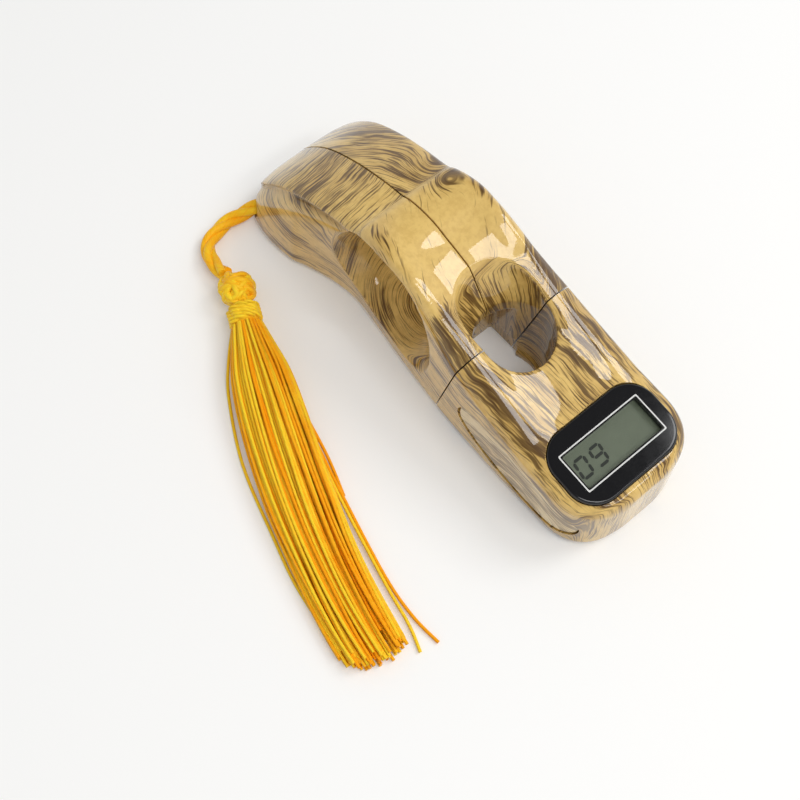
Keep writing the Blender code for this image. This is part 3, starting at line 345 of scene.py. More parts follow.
def box(name, low, high):
    """Box between two corners."""
    ring = [(low[0], low[1]), (high[0], low[1]), (high[0], high[1]), (low[0], high[1])]
    return loft(name, [[(x, y, z) for x, y in ring] for z in (low[2], high[2])])


def circle(sides):
    """Cosine and sine of even steps round a circle."""
    turns = [2 * math.pi * k / sides for k in range(sides)]
    return [(math.cos(turn), math.sin(turn)) for turn in turns]


def turned(name, profile, sides, base):
    """Solid of revolution about local Z from (radius, height) pairs, lowest first."""
    return loft(name, [[base @ Vector((radius * c, radius * s, height)) for c, s in circle(sides)]
                       for radius, height in profile])


def rod(name, radius, low, high, base, sides=32):
    """Cylinder along local Z between two heights."""
    return turned(name, [(radius, low), (radius, high)], sides, base)


def along(start, direction):
    """Matrix that puts local Z on a direction, with its foot at a point."""
    turn = Vector(direction).to_track_quat("Z", "Y").to_matrix().to_4x4()
    return Matrix.Translation(start) @ turn


def evaluated_mesh(item):
    """New mesh of an object with its modifiers applied."""
    depsgraph = bpy.context.evaluated_depsgraph_get()
    return bpy.data.meshes.new_from_object(item.evaluated_get(depsgraph))


def apply_modifiers(item):
    """Turn an object and its modifiers into a plain mesh."""
    mesh = evaluated_mesh(item)
    item.modifiers.clear()
    item.data = mesh
    return item


def combine(target, tools, operation="DIFFERENCE"):
    """Apply one exact boolean with several tools and remove them."""
    group = bpy.data.collections.new("tools")
    bpy.context.scene.collection.children.link(group)
    for tool in tools:
        group.objects.link(tool)
    change = target.modifiers.new("Boolean", "BOOLEAN")
    change.operation = operation
    change.solver = "EXACT"
    change.operand_type = "COLLECTION"
    change.collection = group
    apply_modifiers(target)
    for tool in tools:
        bpy.data.objects.remove(tool, do_unlink=True)
    bpy.data.collections.remove(group)
    return target


def merge(items):
    """Join the meshes of several objects into the first."""
    shape = bmesh.new()
    for item in items:
        shape.from_mesh(item.data)
    shape.to_mesh(items[0].data)
    shape.free()
    for item in items[1:]:
        bpy.data.objects.remove(item, do_unlink=True)
    return items[0]


def read_shares(table, share):
    """Smooth value of a table of (place, value) pairs at one place."""
    if share <= table[0][0]:
        return table[0][1]
    if share >= table[-1][0]:
        return table[-1][1]
    index = max(k for k in range(len(table) - 1) if table[k][0] <= share)
    x0, y0 = table[index]
    x1, y1 = table[index + 1]
    before = table[max(index - 1, 0)]
    after = table[min(index + 2, len(table) - 1)]
    slope0 = (y1 - before[1]) / (x1 - before[0])
    slope1 = (after[1] - y0) / (after[0] - x0)
    t = (share - x0) / (x1 - x0)
    width = x1 - x0
    return ((2 * t ** 3 - 3 * t ** 2 + 1) * y0 + (t ** 3 - 2 * t ** 2 + t) * width * slope0
            + (3 * t ** 2 - 2 * t ** 3) * y1 + (t ** 3 - t ** 2) * width * slope1)


def top_height(x):
    """Height of the body's top along its middle."""
    return body_height * read_shares(top_line_shares, (x - tail_x) / body_length)


display_z = top_height(display_x) + plate_rise
button_height = top_height(button_x) - button_foot - button_headroom
button_z = button_foot + button_height / 2


def spline(points, steps, closed=False, ghost=None):
    """Smooth curve through points, with a number of steps between each two."""
    count = len(points)
    spans = count if closed else count - 1
    result = []
    for k in range(spans):
        if closed:
            p0, p1, p2, p3 = (Vector(points[(k + j - 1) % count]) for j in range(4))
        else:
            p0, p1, p2, p3 = (Vector(points[min(max(k + j - 1, 0), count - 1)]) for j in range(4))
        if ghost is not None and k == 0:
            p0 = Vector(ghost)
        for step in range(steps):
            t = step / steps
            result.append((p1 * 2 + (p2 - p0) * t + (p0 * 2 - p1 * 5 + p2 * 4 - p3) * t * t
                           + (p1 * 3 - p0 - p2 * 3 + p3) * t ** 3) / 2)
    if not closed:
        result.append(Vector(points[-1]))
    return result


def into_ends(x, inset, tail, nose):
    """How deep a place lies in the roundings of the tail and the nose, as shares of them."""
    return (min((tail_x + inset + tail - x) / tail, end_share),
            min((x - nose_x + inset + nose) / nose, end_share))


def end_factor(x, inset):
    """How much the section narrows at the rounded ends, 1 in between."""
    depths = into_ends(x, inset, tail_round, nose_round)
    for depth, power in zip(depths, (tail_power_share, nose_power_share)):
        if depth > 0:
            return (1 - depth ** power) ** (1 / power)
    return 1.0


def edge_drop(x, inset):
    """How far the flat top and bottom turn in at the two ends."""
    for depth, edge in zip(into_ends(x, inset, tail_edge, nose_edge), (tail_edge, nose_edge)):
        if depth > 0:
            return edge * (1 - math.sqrt(1 - depth ** 2))
    return 0.0


def body_section(x, steps, inset=0.0, top_inset=None):
    """Closed outline of the body across X, from the top middle round to the top middle."""
    top_inset = inset if top_inset is None else top_inset
    share = (x - tail_x) / body_length
    narrow = end_factor(x, inset)
    drop = edge_drop(x, inset)
    top_drop = drop if x > seam_x else 0.0

    def width(table):
        return (half_width * read_shares(table, share) - inset) * narrow

    valley = top_height(x) - top_inset - top_drop
    crest_y = width(crest_width_shares)
    crest_z = valley + body_height * read_shares(crest_rise_shares, share)
    lip_y = width(lip_width_shares)
    lip_z = crest_z - body_height * read_shares(lip_drop_shares, share)
    groove_y = lip_y - half_width * read_shares(groove_depth_shares, share) * narrow
    shoulder_y = width(shoulder_width_shares)
    side_y = width(side_width_shares)
    floor = inset + drop
    groove_z = floor + (lip_z - floor) * read_shares(groove_height_shares, share)
    shoulder_z = floor + (lip_z - floor) * read_shares(shoulder_height_shares, share)
    edge = min(bottom_edge, (shoulder_z - floor) / 3, side_y / 3)
    presence = min(read_shares(groove_depth_shares, share) / groove_full_share, 1.0)
    plain_y = lip_y + (shoulder_y - lip_y) * plain_width_share
    plain_z = lip_z - (lip_z - shoulder_z) * plain_drop_share
    groove_y = groove_y * presence + plain_y * (1 - presence)
    groove_z = groove_z * presence + plain_z * (1 - presence)
    knee = (crest_y * knee_width_share, valley + (crest_z - valley) * knee_rise_share)
    outline = [(0.0, valley), knee, (crest_y, crest_z), (lip_y, lip_z), (groove_y, groove_z),
               (shoulder_y, shoulder_z),
               ((shoulder_y + side_y * 3) / 4, (shoulder_z + floor) / 2), (side_y, floor + edge)]
    half = spline(outline, steps, ghost=(-knee[0], knee[1]))
    for k in range(1, steps + 1):
        angle = math.pi / 2 * k / steps
        half.append(Vector((side_y - edge * (1 - math.cos(angle)), floor + edge * (1 - math.sin(angle)))))
    right = [(x, p[0], p[1]) for p in half]
    left = [(x, -p[0], p[1]) for p in reversed(half[1:])]
    return right + left


def body_stations(inset, start, end, density):
    """Places along X where the body's surface has a section, closer at the ends."""
    places = [start]
    for k in range(density):
        places.append(tail_x + inset + tail_round * (1 - math.sin(math.pi / 2 * k / density)))
        places.append(nose_x - inset - nose_round * (1 - math.sin(math.pi / 2 * k / density)))
    first = tail_x + inset + tail_round
    last = nose_x - inset - nose_round
    for k in range(density * 5 + 1):
        places.append(first + (last - first) * k / (density * 5))
    places.append(end)
    shortest = (last - first) / density / 40
    result = []
    for x in sorted(p for p in places if start <= p <= end):
        if not result or x - result[-1] > shortest:
            result.append(x)
    result[-1] = end
    return result


def body_solid(name, steps, density, inset=0.0, start=None, end=None, top_inset=None):
    """The body's shape, moved inwards by an inset, between two places along X."""
    low = tail_x + inset + tail_round * (1 - end_share) if start is None else start
    high = nose_x - inset - nose_round * (1 - end_share) if end is None else end
    return loft(name, [body_section(x, steps, inset, top_inset)
                       for x in body_stations(inset, low, high, density)])


def opening_cutter():
    """Finger opening: narrow in the middle, flaring out to both sides."""
    outline = spline(opening_shares, 6, closed=True)
    rings = []
    stations = 36
    for k in range(stations + 1):
        station = opening_reach_share * (2 * k / stations - 1)
        flare = abs(station) ** flare_power_share
        length = opening_length / 2 * (throat_length_share + (1 - throat_length_share) * flare)
        height = opening_height / 2 * (throat_height_share + (1 - throat_height_share) * flare)
        middle = opening_z - throat_drop * (1 - min(flare, 1.0))
        rings.append([(opening_x + p[0] * length, station * opening_lip, middle + p[1] * height)
                      for p in outline])
    return loft("opening_cutter", rings)


def hole_cutter():
    """Bead hole with its foot narrowing to a slot, from above the body to below it."""
    heights = [(body_height + overrun, 0.0), (foot_top, 0.0)]
    for k in range(1, 9):
        turn = math.pi / 2 * k / 8
        heights.append((foot_top + (foot_bottom - foot_top) * math.sin(turn), 1 - math.cos(turn)))
    heights.append((-overrun, 1.0))
    rings = []
    for height, narrow in heights:
        half = hole_radius + (foot_half_width - hole_radius) * narrow
        rings.append([(seam_x + hole_radius * c, half * s, height) for c, s in circle(hole_sides)])
    return loft("hole_cutter", rings)


def funnel_cutter():
    """Steep hollow that leads from the saddle into the bead hole and leans towards the tail."""
    rows = [Vector(row) for row in zip(funnel_height_shares, funnel_lean_shares, funnel_spread_shares)]
    rings = []
    for rise, lean, spread in spline(rows, 4):
        rings.append([(seam_x + hole_radius * (spread * c - lean), hole_radius * spread * s,
                       funnel_foot + funnel_height * rise) for c, s in circle(hole_sides)])
    return loft("funnel_cutter", rings)


def pocket_cutters():
    """Hollow under the saddle's front lip, and the slot below it."""
    back = seam_x - hole_radius - pocket_reach
    front = seam_x - hole_radius / 2
    rounding = pocket_reach / 2
    outline = [(back, slot_top / 2), (back, pocket_top - rounding), (back + rounding, pocket_top),
               (front, pocket_top), (front, slot_top / 2)]
    tall = loft("pocket_cutter", [[(x, y, z) for x, z in outline]
                                  for y in (-pocket_half_width, pocket_half_width)])
    slot = box("slot_cutter", (seam_x - hole_radius - slot_reach, -foot_half_width, -overrun),
               (front, foot_half_width, slot_top))
    return [tall, slot]


def seam_groove(width, depth):
    """Narrow wedge along the middle of the top, which breaks the edges of the handle's seam."""
    rings = []
    for x in body_stations(0.0, tail_x + tail_edge, seam_x, 16):
        top = top_height(x)
        rings.append([(x, -width, top + depth / 4), (x, 0.0, top - depth), (x, width, top + depth / 4),
                      (x, 0.0, top + depth)])
    return loft("seam_groove", rings)


def refine(item, cell, rounds):
    """Remesh a closed solid into small even cells and soften its edges."""
    grid = item.modifiers.new("Remesh", "REMESH")
    grid.mode = "VOXEL"
    grid.voxel_size = cell
    smooth = item.modifiers.new("Smooth", "SMOOTH")
    smooth.factor = 0.5
    smooth.iterations = rounds
    return apply_modifiers(item)


def sliced(source, name, planes):
    """Closed copy of a solid, cut off at planes, each a point and the normal of the side removed."""
    shape = bmesh.new()
    shape.from_mesh(source.data)
    for point, normal in planes:
        everything = list(shape.verts) + list(shape.edges) + list(shape.faces)
        bmesh.ops.bisect_plane(shape, geom=everything, plane_co=point, plane_no=normal, clear_outer=True)
        rim = [edge for edge in shape.edges if edge.is_boundary]
        bmesh.ops.triangle_fill(shape, edges=rim, use_beauty=True)
    bmesh.ops.recalc_face_normals(shape, faces=shape.faces)
    mesh = bpy.data.meshes.new(name)
    shape.to_mesh(mesh)
    shape.free()
    return new_object(name, mesh)


def shade(item):
    """Smooth shading with sharp edges kept."""
    item.data.shade_smooth()
    item.data.set_sharp_from_angle(angle=math.radians(38))


def place_piece(item, body, material, replaced=()):
    """Give a finished piece its material, its body and the nodes that it stands for."""
    item.data.materials.clear()
    item.data.materials.append(material)
    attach(item, body)
    if replaced:
        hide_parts(*replaced)


class Term:
    """A node's output socket that takes part in arithmetic."""

    def __init__(self, nodes, socket):
        self.nodes = nodes
        self.socket = socket

    def beside(self, output):
        """Another output of the same node."""
        return Term(self.nodes, self.socket.node.outputs[output])

    def wave(self, operation):
        """Sine or cosine."""
        return self.nodes.add("ShaderNodeMath", {"operation": operation}, {0: self})

    def _math(self, operation, other, swap=False):
        pair = (other, self) if swap else (self, other)
        return self.nodes.add("ShaderNodeMath", {"operation": operation}, {0: pair[0], 1: pair[1]})

    def __add__(self, other):
        return self._math("ADD", other)

    def __radd__(self, other):
        return self._math("ADD", other, True)

    def __sub__(self, other):
        return self._math("SUBTRACT", other)

    def __rsub__(self, other):
        return self._math("SUBTRACT", other, True)

    def __mul__(self, other):
        return self._math("MULTIPLY", other)

    def __rmul__(self, other):
        return self._math("MULTIPLY", other, True)

    def __truediv__(self, other):
        return self._math("DIVIDE", other)


class Nodes:
    """A node tree and short ways to fill it."""

    def __init__(self, tree):
        self.tree = tree

    def add(self, kind, settings=None, values=None, output=0):
        """Add a node, set its settings first and then its sockets, and return one output."""
        node = self.tree.nodes.new(kind)
        for name, value in (settings or {}).items():
            setattr(node, name, value)
        for key, value in (values or {}).items():
            self.feed(node.inputs[key], value)
        return Term(self, node.outputs[output])

    def feed(self, socket, value):
        """Link a term to a socket, or set the socket's own value."""
        if isinstance(value, Term):
            self.tree.links.new(value.socket, socket)
        elif hasattr(value, "__len__") and len(value) == 3 and len(socket.default_value) == 4:
            socket.default_value = (*value, 1.0)
        else:
            socket.default_value = value

    def vector(self, operation, first, second):
        """Arithmetic of a vector with another one, or with a factor to scale it by."""
        key = "Scale" if operation == "SCALE" else 1
        return self.add("ShaderNodeVectorMath", {"operation": operation}, {0: first, key: second})

    def between(self, value, low, high, start=0.0, end=1.0):
        """Start below low, end above high and smooth in between."""
        return self.add("ShaderNodeMapRange", {"interpolation_type": "SMOOTHSTEP"},
                        {"Value": value, "From Min": low, "From Max": high, "To Min": start, "To Max": end})


class Paint(Nodes):
    """One material and its node tree."""

    def __init__(self, name):
        self.material = bpy.data.materials.new(name)
        self.material.use_nodes = True
        super().__init__(self.material.node_tree)
        self.shader = self.tree.nodes["Principled BSDF"]

    def set(self, **values):
        """Set or link sockets of the main shader by their names."""
        for name, value in values.items():
            self.feed(self.shader.inputs[name.replace("_", " ")], value)

    def object_point(self):
        """Object coordinates in millimetres."""
        return self.vector("SCALE", self.add("ShaderNodeTexCoord", output="Object"), 1 / mm)

    def noise(self, vector, scale, detail=2.0, roughness=0.5, w=None):
        """Noise value, four-dimensional where w is given."""
        values = {"Vector": vector, "Scale": scale, "Detail": detail, "Roughness": roughness}
        if w is not None:
            values["W"] = w
        return self.add("ShaderNodeTexNoise", {"noise_dimensions": "4D" if w is not None else "3D"}, values)

    def attribute(self, name):
        """Float attribute of the mesh."""
        return self.add("ShaderNodeAttribute", {"attribute_name": name}, output="Fac")

    def mix(self, share, first, second):
        """Mix two colours."""
        node = self.tree.nodes.new("ShaderNodeMix")
        node.data_type = "RGBA"
        colours = [socket for socket in node.inputs if socket.type == "RGBA"]
        self.feed(node.inputs["Factor"], share)
        self.feed(colours[0], first)
        self.feed(colours[1], second)
        return Term(self, next(socket for socket in node.outputs if socket.type == "RGBA"))

    def bump(self, height, distance):
        """Bump normal from a height."""
        return self.add("ShaderNodeBump", None, {"Height": height, "Distance": distance, "Strength": 1.0})


def wood_print(name, light, mid, dark):
    """Printed wood grain under a clear gloss coat, along the level lines of the grain attribute."""
    paint = Paint(name)
    point = paint.object_point()
    boldness = paint.attribute("boldness")
    across = paint.attribute("grain") + (paint.noise(point, 0.10) - 0.5) * 2.6

    def lines(slowness, detail, closeness):
        drawn_out = paint.vector("MULTIPLY", point, (slowness, slowness, slowness))
        return paint.noise(drawn_out, 1.0, detail=detail, w=across * closeness)

    bands, streaks, hairs = lines(0.05, 2.0, 0.24), lines(0.11, 1.0, 2.0), lines(0.20, 1.0, 3.8)
    mottle = paint.noise(point, 0.8, detail=3.0, roughness=0.6)
    lean = (bands - 0.5) * 0.50 + (boldness - side_boldness) * 0.30
    band_mask = paint.between(bands + (boldness - 0.75) * 0.2, 0.42, 0.66)
    streak_mask = paint.between(streaks + lean, 0.54, 0.66)
    hair_mask = paint.between(hairs + lean, 0.53, 0.66)
    ground = paint.mix(paint.between(mottle, 0.35, 0.70) * 0.30, light, mid)
    toned = paint.mix(band_mask * 0.60, ground, mid)
    haired = paint.mix(hair_mask * 0.70, toned, dark)
    final = paint.mix(streak_mask * 0.85, haired, dark)
    paint.set(Base_Color=final, Roughness=0.4, Coat_Weight=1.0)
    paint.set(Coat_Roughness=0.03, Coat_IOR=1.5, Specular_IOR_Level=0.2)
    return paint.material


def metal(name, colour, roughness):
    """Metal with fine turning marks and a little uneven shine."""
    paint = Paint(name)
    point = paint.object_point()
    marks = paint.noise(paint.vector("MULTIPLY", point, (0.6, 6.0, 6.0)), 1.0, detail=3.0)
    stain = paint.noise(point, 0.35, detail=3.0)
    dull = tuple(channel * 0.72 for channel in colour)
    paint.set(Base_Color=paint.mix(paint.between(stain, 0.45, 0.75) * 0.5, colour, dull), Metallic=1.0,
              Roughness=marks * 0.175 + roughness, Normal=paint.bump(marks, 0.00001))
    return paint.material


def moulded(name, colour, roughness):
    """Moulded plastic or rubber with a fine grain and slight colour change."""
    paint = Paint(name)
    point = paint.object_point()
    pores = paint.noise(point, 5.0)
    pale = tuple(min(1.0, channel * 1.25 + 0.003) for channel in colour)
    paint.set(Base_Color=paint.mix(paint.noise(point, 0.4), colour, pale),
              Roughness=pores * 0.16 + (roughness - 0.08), Normal=paint.bump(pores, 0.00002))
    return paint.material


def polished(name, colour, roughness):
    """Polished plastic with faint wiping marks."""
    paint = Paint(name)
    smear = paint.noise(paint.object_point(), 0.5, detail=3.0)
    paint.set(Base_Color=colour, Roughness=smear * 0.06 + roughness)
    return paint.material


def clear_plastic(name):
    """Clear window: nearly all of what is behind it shows."""
    paint = Paint(name)
    smear = paint.noise(paint.object_point(), 0.5)
    paint.set(Base_Color=(0.02, 0.025, 0.02), Roughness=smear * 0.04 + 0.04, Alpha=0.06)
    return paint.material


def thread(name, bright, deep, shadow):
    """Silky twisted thread: fine fibres wind round each strand along its attributes, with painted shade in
    the grooves between them.
    """
    paint = Paint(name)
    turn = (paint.attribute("around") + paint.attribute("along") * 160.0) * (2 * math.pi)
    relief = (turn * 3.0).wave("SINE") * 0.3 + (turn * 8.0).wave("SINE") * 0.2 + 0.5
    cloud = paint.noise(paint.object_point(), 0.22)
    tint = paint.attribute("tint") * 0.65 + cloud * 0.35
    base = paint.mix(paint.between(tint, 0.25, 0.75), deep, bright)
    # Low parts of the fibre relief take the shadow colour: painted shade between the fibres.
    paint.set(Base_Color=paint.mix(paint.between(relief, 0.45, 0.0) * 0.35, base, shadow),
              Roughness=0.42, Specular_IOR_Level=0.45, Specular_Tint=(1.0, 0.85, 0.3),
              Normal=paint.bump(relief, 0.00006))
    return paint.material


def set_attribute(item, name, values):
    """Write one float attribute on the points of a mesh, from one value for all or one for each."""
    layer = item.data.attributes.new(name, "FLOAT", "POINT")
    layer.data.foreach_set("value", np.full(len(item.data.vertices), values, dtype=np.float32))


def read_vertices(item, key):
    """Places or normals of a mesh's points, one row each."""
    values = np.zeros(len(item.data.vertices) * 3)
    item.data.vertices.foreach_get(key, values)
    return values.reshape(-1, 3)


def set_grain(item, grain_of):
    """Write the grain and boldness attributes of a wood-print piece from its places."""
    x, y, z = (read_vertices(item, "co") / mm).T
    grain, boldness = grain_of(x, y, z, read_vertices(item, "normal"))
    set_attribute(item, "grain", grain)
    set_attribute(item, "boldness", boldness)


def step_up(value, low, high):
    """Smooth step of an array."""
    t = np.clip((value - low) / (high - low), 0, 1)
    return t * t * (3 - 2 * t)


def blend(first, second, share):
    """Mix of two pairs of grain and boldness arrays."""
    return tuple(a * (1 - share) + b * share for a, b in zip(first, second))


def spot(x, y, middle, reach):
    """Soft round mask in plan, 1 in the middle."""
    return np.exp(-((x - middle[0]) ** 2 + (y - middle[1]) ** 2) / reach ** 2)


def around_body(y, z, axis):
    """Distance round the body from the top middle, in millimetres, for arrays."""
    return girth_radius * np.arctan2(y, z - axis)


def below_top(x, z):
    """How far below the body's top line a place lies, in millimetres."""
    places = np.linspace(tail_x, nose_x, 200)
    heights = [top_height(place) / mm for place in places]
    return np.interp(x, places / mm, heights) - z


def opening_lines(x, y, z, normal):
    """Nested rings on the wall of the finger opening, and how far a place belongs to it."""
    middle_x, middle_z = opening_x / mm, opening_z / mm
    across = (x - middle_x) / (opening_length / mm / 2)
    up = (z - middle_z) / (opening_height / mm / 2)
    reach = np.hypot(across, up)
    inward = -(normal[:, 0] * across + normal[:, 2] * up) / np.maximum(reach, 0.1)
    share = step_up(inward, 0.05, 0.5) * step_up(1.25 - reach, 0.0, 0.15)
    rings = 1.5 * np.hypot(x - middle_x - 6.0, (y + 3.0) * 1.6) + 0.5 * z
    return (rings, side_boldness), share


def funnel_lines(x, y, z, normal):
    """Lines down the walls of the hollow round the bead hole, and how far a place belongs to it."""
    away_x, away_y = x - seam_x / mm, y
    reach = np.hypot(away_x, away_y)
    inward = -(normal[:, 0] * away_x + normal[:, 1] * away_y) / np.maximum(reach, 0.1)
    share = step_up(inward, 0.35, 0.7) * step_up(14.0 - reach, 0.0, 2.0)
    return (10.0 * np.arctan2(away_y, -away_x) + 0.25 * z, 0.9), share


def lay_out(top, saddle, flank, flank_edge, x, y, z, normal):
    """Lines of a handle half: top of the tail, saddle, side, and the walls of the openings."""
    lines = blend(top, saddle, step_up(x, *saddle_start))
    lines = blend(lines, flank, step_up(below_top(x, z), *flank_edge))
    for walls in (opening_lines, funnel_lines):
        lines = blend(lines, *walls(x, y, z, normal))
    return lines


def left_grain(x, y, z, normal):
    """Left half: lines across the tail's top, along the side, and a plain saddle."""
    side = around_body(y, z, handle_axis)
    top = (x + 0.10 * y + 0.8 * np.sin(y / 4.0), 1.0)
    flank = (side * 1.15 + 0.12 * x + 60.0, side_boldness)
    edge = step_up(np.abs(y), 8.5, 11.0)
    saddle = (side * 1.1 + 0.25 * x, 0.44 + 0.4 * edge + 0.4 * step_up(x, *saddle_end))
    return lay_out(top, saddle, flank, (3.2, 4.4), x, y, z, normal)


def right_grain(x, y, z, normal):
    """Right half: slanting lines that curl at the step, and a plain saddle with dark edges."""
    side = around_body(y, z, handle_axis)
    top = (0.83 * y - 0.56 * x + 7.0 * spot(x, y, swirl_place, 7.0), top_boldness)
    flank = (side * 1.15 - 0.1 * x + 30.0, side_boldness)
    knot = spot(x, y, wood_knot_place, 3.4)
    edge = step_up(np.abs(y), 9.5, 12.0)
    saddle = (side + 0.35 * x + 3.0 * knot,
              0.42 + 0.65 * knot + 0.5 * edge + 0.4 * step_up(x, *saddle_end))
    return lay_out(top, saddle, flank, (3.6, 5.0), x, y, z, normal)


def head_grain(x, y, z, normal):
    """Head: lines along its top and sides that spread a little from the hole, and down its nose."""
    side = around_body(y, z, head_axis)
    fan = 1.0 + 0.006 * (36.0 - x)
    along_body = (side * fan + 0.8 * np.sin(x / 9.0), top_boldness)
    down_nose = (1.36 * y, side_boldness)
    return blend(along_body, down_nose, step_up(normal[:, 0], 0.45, 0.8))


def button_grain(x, y, z, normal):
    """Button: long nested arches."""
    reach = (x - button_x / mm - 4.0) / 14.0
    arches = 7.0 * np.hypot(reach, (z - button_z / mm + 6.0) / 6.0)
    return arches * 0.7 + 0.05 * x, top_boldness


def display_place(x=0.0, y=0.0, z=0.0):
    """Matrix of the tilted display stack, zero on top of the plate's middle."""
    return (Matrix.Translation((display_x, 0.0, display_z)) @ Matrix.Rotation(display_tilt, 4, "Y")
            @ Matrix.Translation((x, y, z)))


def rounded_outline(length, width, corner, steps):
    """Rounded rectangle in X and Y about zero."""
    points = []
    for sx, sy, start in ((1, 1, 0.0), (-1, 1, 0.5), (-1, -1, 1.0), (1, -1, 1.5)):
        for k in range(steps + 1):
            angle = math.pi * (start + 0.5 * k / steps)
            points.append((sx * (length / 2 - corner) + corner * math.cos(angle),
                           sy * (width / 2 - corner) + corner * math.sin(angle)))
    return points


def slab(name, outline, low, high):
    """Upright prism on an outline in X and Y."""
    return loft(name, [[(x, y, z) for x, y in outline] for z in (low, high)])


def display_ring(length, width, corner, steps, height):
    """Rounded rectangle at a height of the display stack."""
    return [display_place() @ Vector((x, y, height))
            for x, y in rounded_outline(length, width, corner, steps)]


def display_slab(name, length, width, corner, steps, low, high):
    """Prism on a rounded rectangle, square to the display."""
    return loft(name, [display_ring(length, width, corner, steps, height) for height in (low, high)])


def side_width(x, inset):
    """Half width of the body low on its sides, moved inwards."""
    share = (x - tail_x) / body_length
    return (half_width * read_shares(side_width_shares, share) - inset) * end_factor(x, inset)


def plan_ring(inset, start, end=nose_x):
    """Outline of the body's sides seen from above, moved inwards, between two places along X."""
    end = min(end, nose_x - inset - nose_round * (1 - end_share))
    right = [(x, side_width(x, inset)) for x in body_stations(inset, start, end, 12)]
    return right + [(x, -y) for x, y in reversed(right)]


def button_prism(name, side, grow, inner_y):
    """Prism of the button's oval outline from an inner depth out past the side."""
    outline = []
    for c, s in circle(72):
        x = (button_length / 2 + grow) * math.copysign(abs(c) ** (2 / button_power_share), c)
        z = (button_height / 2 + grow) * math.copysign(abs(s) ** (2 / button_power_share), s)
        outline.append((button_x + x * math.cos(display_tilt) + z * math.sin(display_tilt),
                        button_z + z * math.cos(display_tilt) - x * math.sin(display_tilt)))
    return loft(name, [[(x, side * y, z) for x, z in outline] for y in (inner_y, half_width + overrun)])


def seam_plane(side):
    """Point and outward normal of the sloping seam's face on the handle (-1) or the head (1)."""
    normal = Vector((math.cos(seam_tilt), 0.0, -math.sin(seam_tilt)))
    point = Vector((seam_x, 0.0, seam_height)) + normal * (side * fit_gap / 2)
    return point, (-normal if side > 0 else normal)


def whole_body(cell, softening):
    """The whole body in one softened solid with its openings."""
    body = body_solid("whole_body", 8, 30)
    combine(body, [opening_cutter(), hole_cutter(), funnel_cutter(), *pocket_cutters()])
    return refine(body, cell, softening)


def handle_cutters(side):
    """Everything that is cut from the inside of one half of the handle."""
    start, towards = (cord_start + Vector(cord_points[k]) for k in (0, 2))
    direction = towards - start
    chamber = Vector((anchor_x, 0.0, anchor_z))
    pin_reach = anchor_half_length + fit_gap
    tools = [rod("channel", cord_channel, 0.0, overrun,
                 along(start - direction.normalized() * cord_channel / 2, direction)),
             rod("post_hole", post_radius + fit_gap, 0.0, overrun,
                 along((post_foot - post_grip - fit_gap, side * post_y, post_z), (1, 0, 0))),
             rod("pin_hole", anchor_radius + fit_gap, 0.0, pin_reach * 2,
                 along((anchor_x, -pin_reach, anchor_z), (0, 1, 0))),
             box("chamber", chamber - chamber_half, chamber + chamber_half),
             seam_groove(fit_gap, fit_gap)]
    for x, z in ((tail_x + tail_screw_reach, tail_screw_height),
                 (tail_x + step_screw_reach, step_screw_height),
                 (opening_x, bar_thickness - bar_screw_depth)):
        tools.append(rod("screw_hole", thread_radius + fit_gap, 0.0, handle_screw_length + fit_gap * 2,
                         along((x, handle_screw_seat + fit_gap, z), (0, -1, 0)), 24))
        if side > 0:
            tools.append(rod("head_hole", screw_head_radius + fit_gap, 0.0, overrun,
                             along((x, handle_screw_seat - fit_gap, z), (0, 1, 0))))
    if side > 0:
        tools += dowels(dowel_radius + fit_gap, dowel_length + fit_gap)
    return tools


def dowels(radius, reach):
    """Short pins across the joint of the two halves."""
    return [rod("dowel", radius, 0.0, dowel_length + reach, along((x, -dowel_length, z), (0, 1, 0)), 24)
            for x, z in dowel_places]


def place_wood(looks, item, grain_of, body, node, slot="wood_print"):
    """Shade a piece, draw its grain and let it stand for its node."""
    shade(item)
    set_grain(item, grain_of)
    place_piece(item, body, looks[slot], [node])


def make_handle(looks, body):
    """Both halves of the handle."""
    for side, word, grain_of in ((-1, "left", left_grain), (1, "right", right_grain)):
        middle = (Vector((0.0, side * fit_gap / 2, 0.0)), Vector((0.0, -side, 0.0)))
        half = sliced(body, f"handle_skin_{word}", [middle, seam_plane(-1)])
        combine(half, handle_cutters(side))
        if side < 0:
            merge([half, *dowels(dowel_radius, dowel_length)])
        place_wood(looks, half, grain_of, "root", f"handle_shell_{word}")


def head_cavity():
    """Hollow of the head, round the bosses for its screws."""
    cavity = body_solid("cavity", 2, 6, cavity_inset, base_back, None, cavity_top_inset)
    bosses = [rod("boss", boss_radius, base_thickness, body_height,
                  Matrix.Translation((base_boss_x, side * base_boss_y, 0.0))) for side in (-1, 1)]
    bosses += [rod("board_boss", boss_radius, board_top + fit_gap, overrun,
                   display_place(board_boss[0], side * board_boss[1])) for side in (-1, 1)]
    return combine(cavity, bosses)


